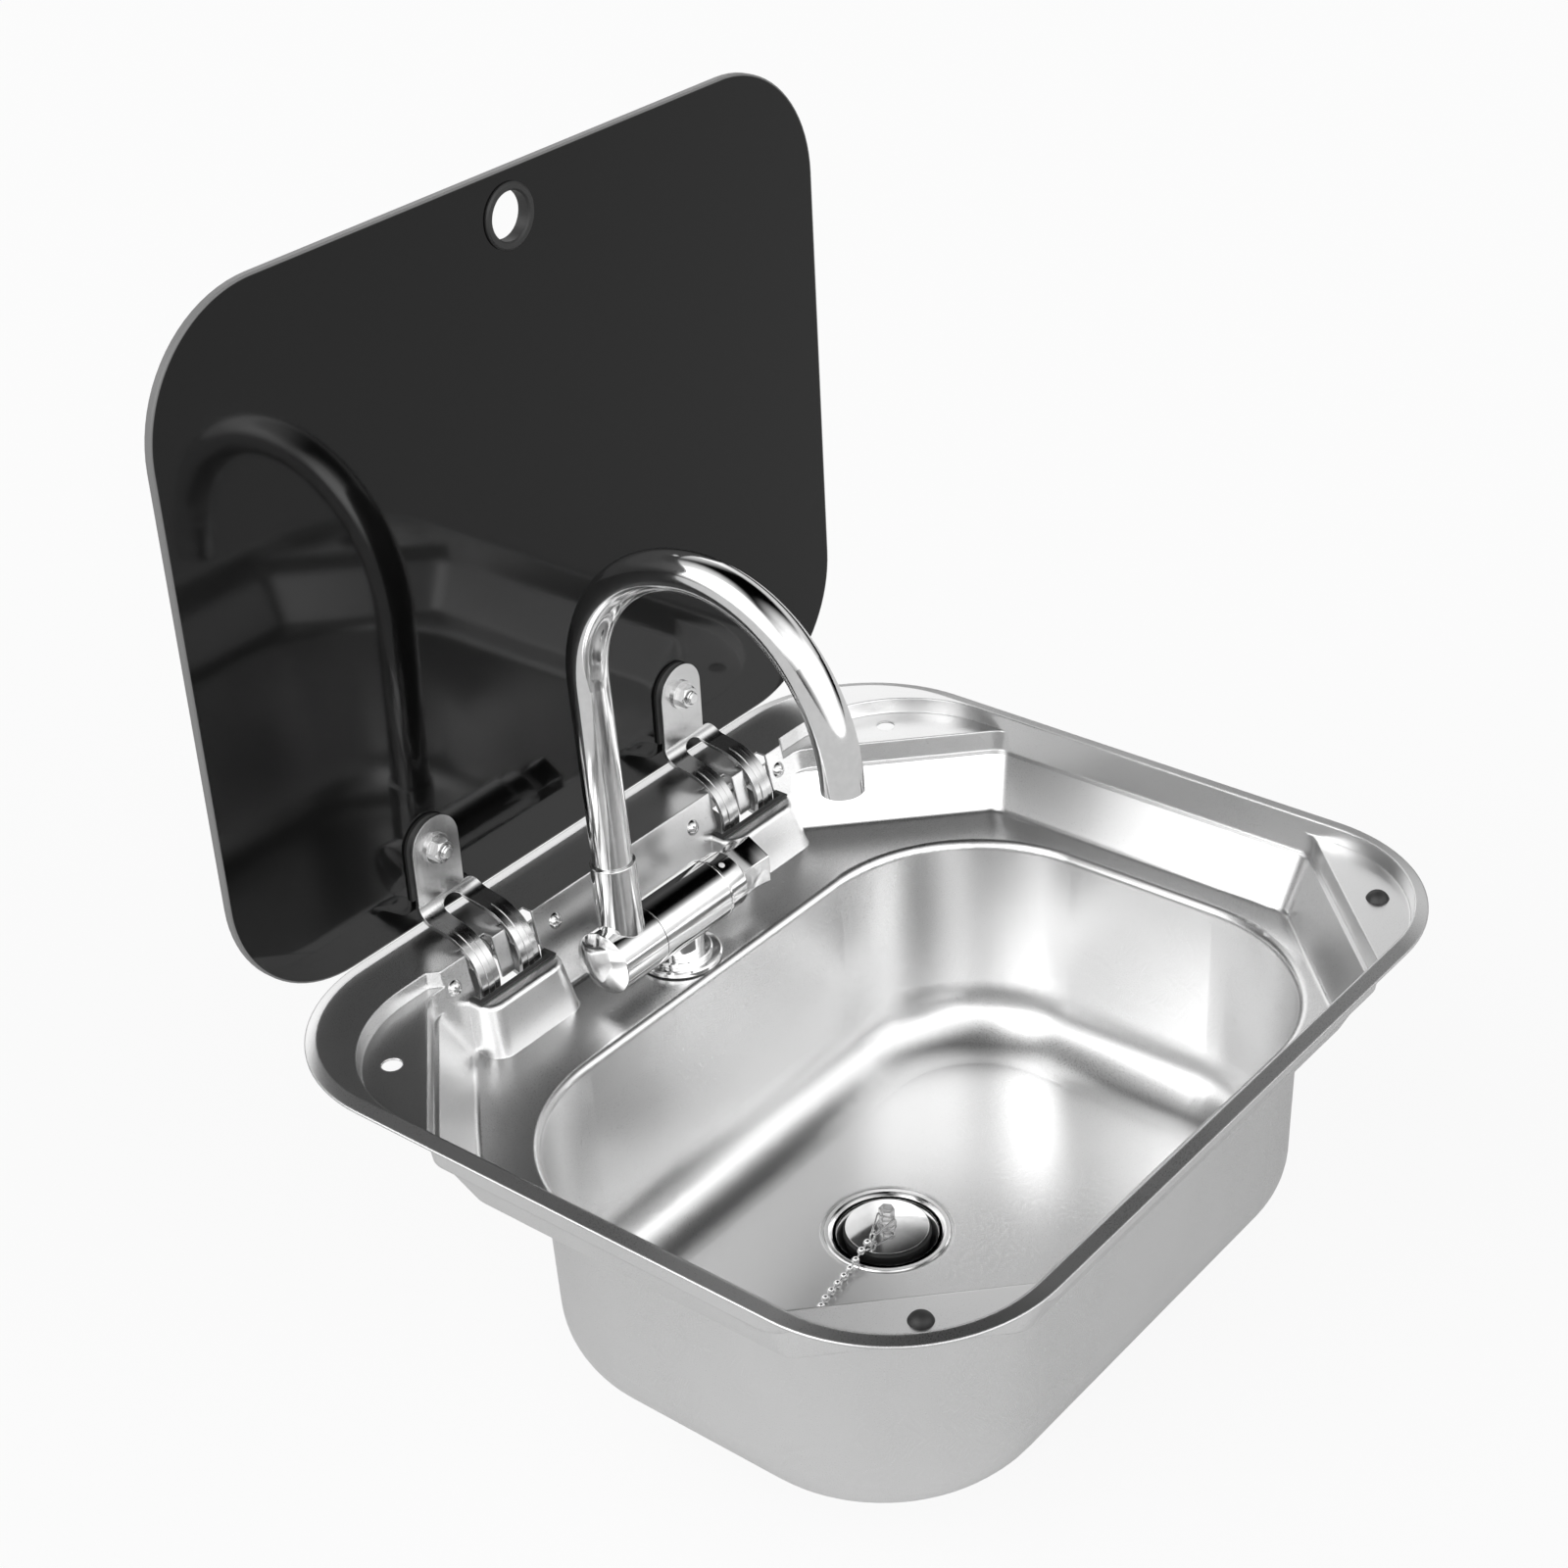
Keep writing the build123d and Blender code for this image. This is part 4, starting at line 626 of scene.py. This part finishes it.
# %% Knob grip
grip_sides = 6
grip_half_flat = 11.8
grip_rings = (
    (11.3, 0.0),
    (13.5, -0.2),
    (16.8, -0.75),
    (20.8, -0.95),
    (25.2, -0.6),
    (29.2, 0.0),
    (30.4, 0.1),
)
grip_edge = 0.55
dish_insets = ((1.1, 0.0), (0.9, -0.45), (3.5, -0.35))
same_height = 0.01

grip = bmesh.new()
to_corner = 1 / math.cos(math.pi / grip_sides)
height_below, offset_below = grip_rings[0]
start_radius = (grip_half_flat + offset_below) * to_corner * MM
ring = bmesh.ops.create_circle(grip, cap_ends=False, segments=grip_sides, radius=start_radius)["verts"]
bmesh.ops.translate(grip, verts=ring, vec=(0, 0, height_below * MM))
edges = list(grip.edges)
for height, offset in grip_rings[1:]:
    grown = bmesh.ops.extrude_edge_only(grip, edges=edges)["geom"]
    ring = [part for part in grown if isinstance(part, bmesh.types.BMVert)]
    edges = [part for part in grown if isinstance(part, bmesh.types.BMEdge)]
    wider = (grip_half_flat + offset) / (grip_half_flat + offset_below)
    bmesh.ops.scale(grip, vec=(wider, wider, 1), verts=ring)
    bmesh.ops.translate(grip, verts=ring, vec=(0, 0, (height - height_below) * MM))
    height_below, offset_below = height, offset
grip_end = height_below * MM
end_faces = bmesh.ops.holes_fill(grip, edges=open_edges(grip), sides=0)["faces"]
end_face = max(end_faces, key=lambda face: face.calc_center_median().z)
for width, sink in dish_insets:
    bmesh.ops.inset_region(grip, faces=[end_face], thickness=width * MM, depth=sink * MM)
long_edges = [
    edge
    for edge in grip.edges
    if abs((edge.verts[0].co - edge.verts[1].co).normalized().z) > 0.9 and len(edge.link_faces) == 2
]
rim_edges = [
    edge
    for edge in grip.edges
    if all(abs(vertex.co.z - grip_end) < same_height * MM for vertex in edge.verts)
    and any(abs(face.normal.z) < 0.5 for face in edge.link_faces)
]
bmesh.ops.bevel(
    grip,
    geom=long_edges + rim_edges,
    offset=grip_edge * MM,
    offset_type="OFFSET",
    affect="EDGES",
    segments=3,
    profile=0.5,
    material=-1,
)
grip_piece = add_piece("knob_grip", set_down(grip, knob_start, knob_axis), chrome, "knob")
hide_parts("tap_knob")

# %% [markdown]
# A small pale button on the shoulder shows which way the knob is turned. It is a low turned dome whose root
# is sunk into the shoulder.

# %% Knob button
button_from_start = 4.0
button_radius = 1.5
button_rise = 0.35
button_root = -1.0
button_turn = math.radians(21)

button_way = Vector((0, -math.sin(button_turn), math.cos(button_turn)))
button_outline = [(0, button_root), (button_radius, button_root), (button_radius, 0.1)]
button_outline += [(button_radius * 0.8, 0.28), (button_radius * 0.4, button_rise), (0, button_rise)]
button_seat = knob_start + knob_axis * button_from_start * MM + button_way * knob_radius * MM
button = set_down(turned(button_outline, steps=32), button_seat, button_way)
add_piece("knob_button", button, pale_plastic, "knob")

# %% [markdown]
# ## The socket's lip
#
# Where the spout's tube enters the upright socket, the photograph shows a thin bright ring. It is a rounded
# lip, a small circle that spins about the tube's axis, and it stays on the socket when the tube turns. A
# ready-made torus would do as well, but the turning helper keeps its sizes in millimetres like the others.

# %% Socket lip
swivel = next(joint for joint in frame["joints"] if joint["name"] == "spout_swivel")
lip_height = 45.9
lip_middle_radius = 9.95
lip_section = 0.62
lip_steps = 16

lip_outline = []
for step in range(lip_steps):
    turn = 2 * math.pi * step / lip_steps
    radius = lip_middle_radius + lip_section * math.cos(turn)
    lip_outline.append((radius, lip_height + lip_section * math.sin(turn)))
lip = set_down(turned(lip_outline, closed=True), swivel["pos_m"], swivel["axis"])
add_piece("socket_lip", lip, chrome, "spout_holder")

# %% [markdown]
# ## Every solid gets its finish
#
# The record names a material slot for each solid, so the finishes are handed out by slot. A list of solids
# by name would be longer, and a new solid could be forgotten in it. Here a slot without a finish stops the
# script.

# %% Finishes by slot
finish_of_slot = {
    "stainless_sheet": bowl_steel,
    "polished_steel": waste_steel,
    "hinge_steel": strip_steel,
    "zinc_steel": zinc,
    "tap_chrome": chrome,
    "chain_chrome": chain_chrome,
    "valve_brass": brass,
    "black_glass": lid_glass,
    "black_rubber": rubber,
    "black_plastic": black_plastic,
    "white_plastic": pale_plastic,
    "clear_plastic": clear,
}
slot_of_node = {row["node"]: row["material_slot"] for row in frame["record"]["subparts"]}
for name, solid in nodes.items():
    solid.data.materials.clear()
    solid.data.materials.append(finish_of_slot[slot_of_node[name]])
print("finished", len(nodes), "solids")
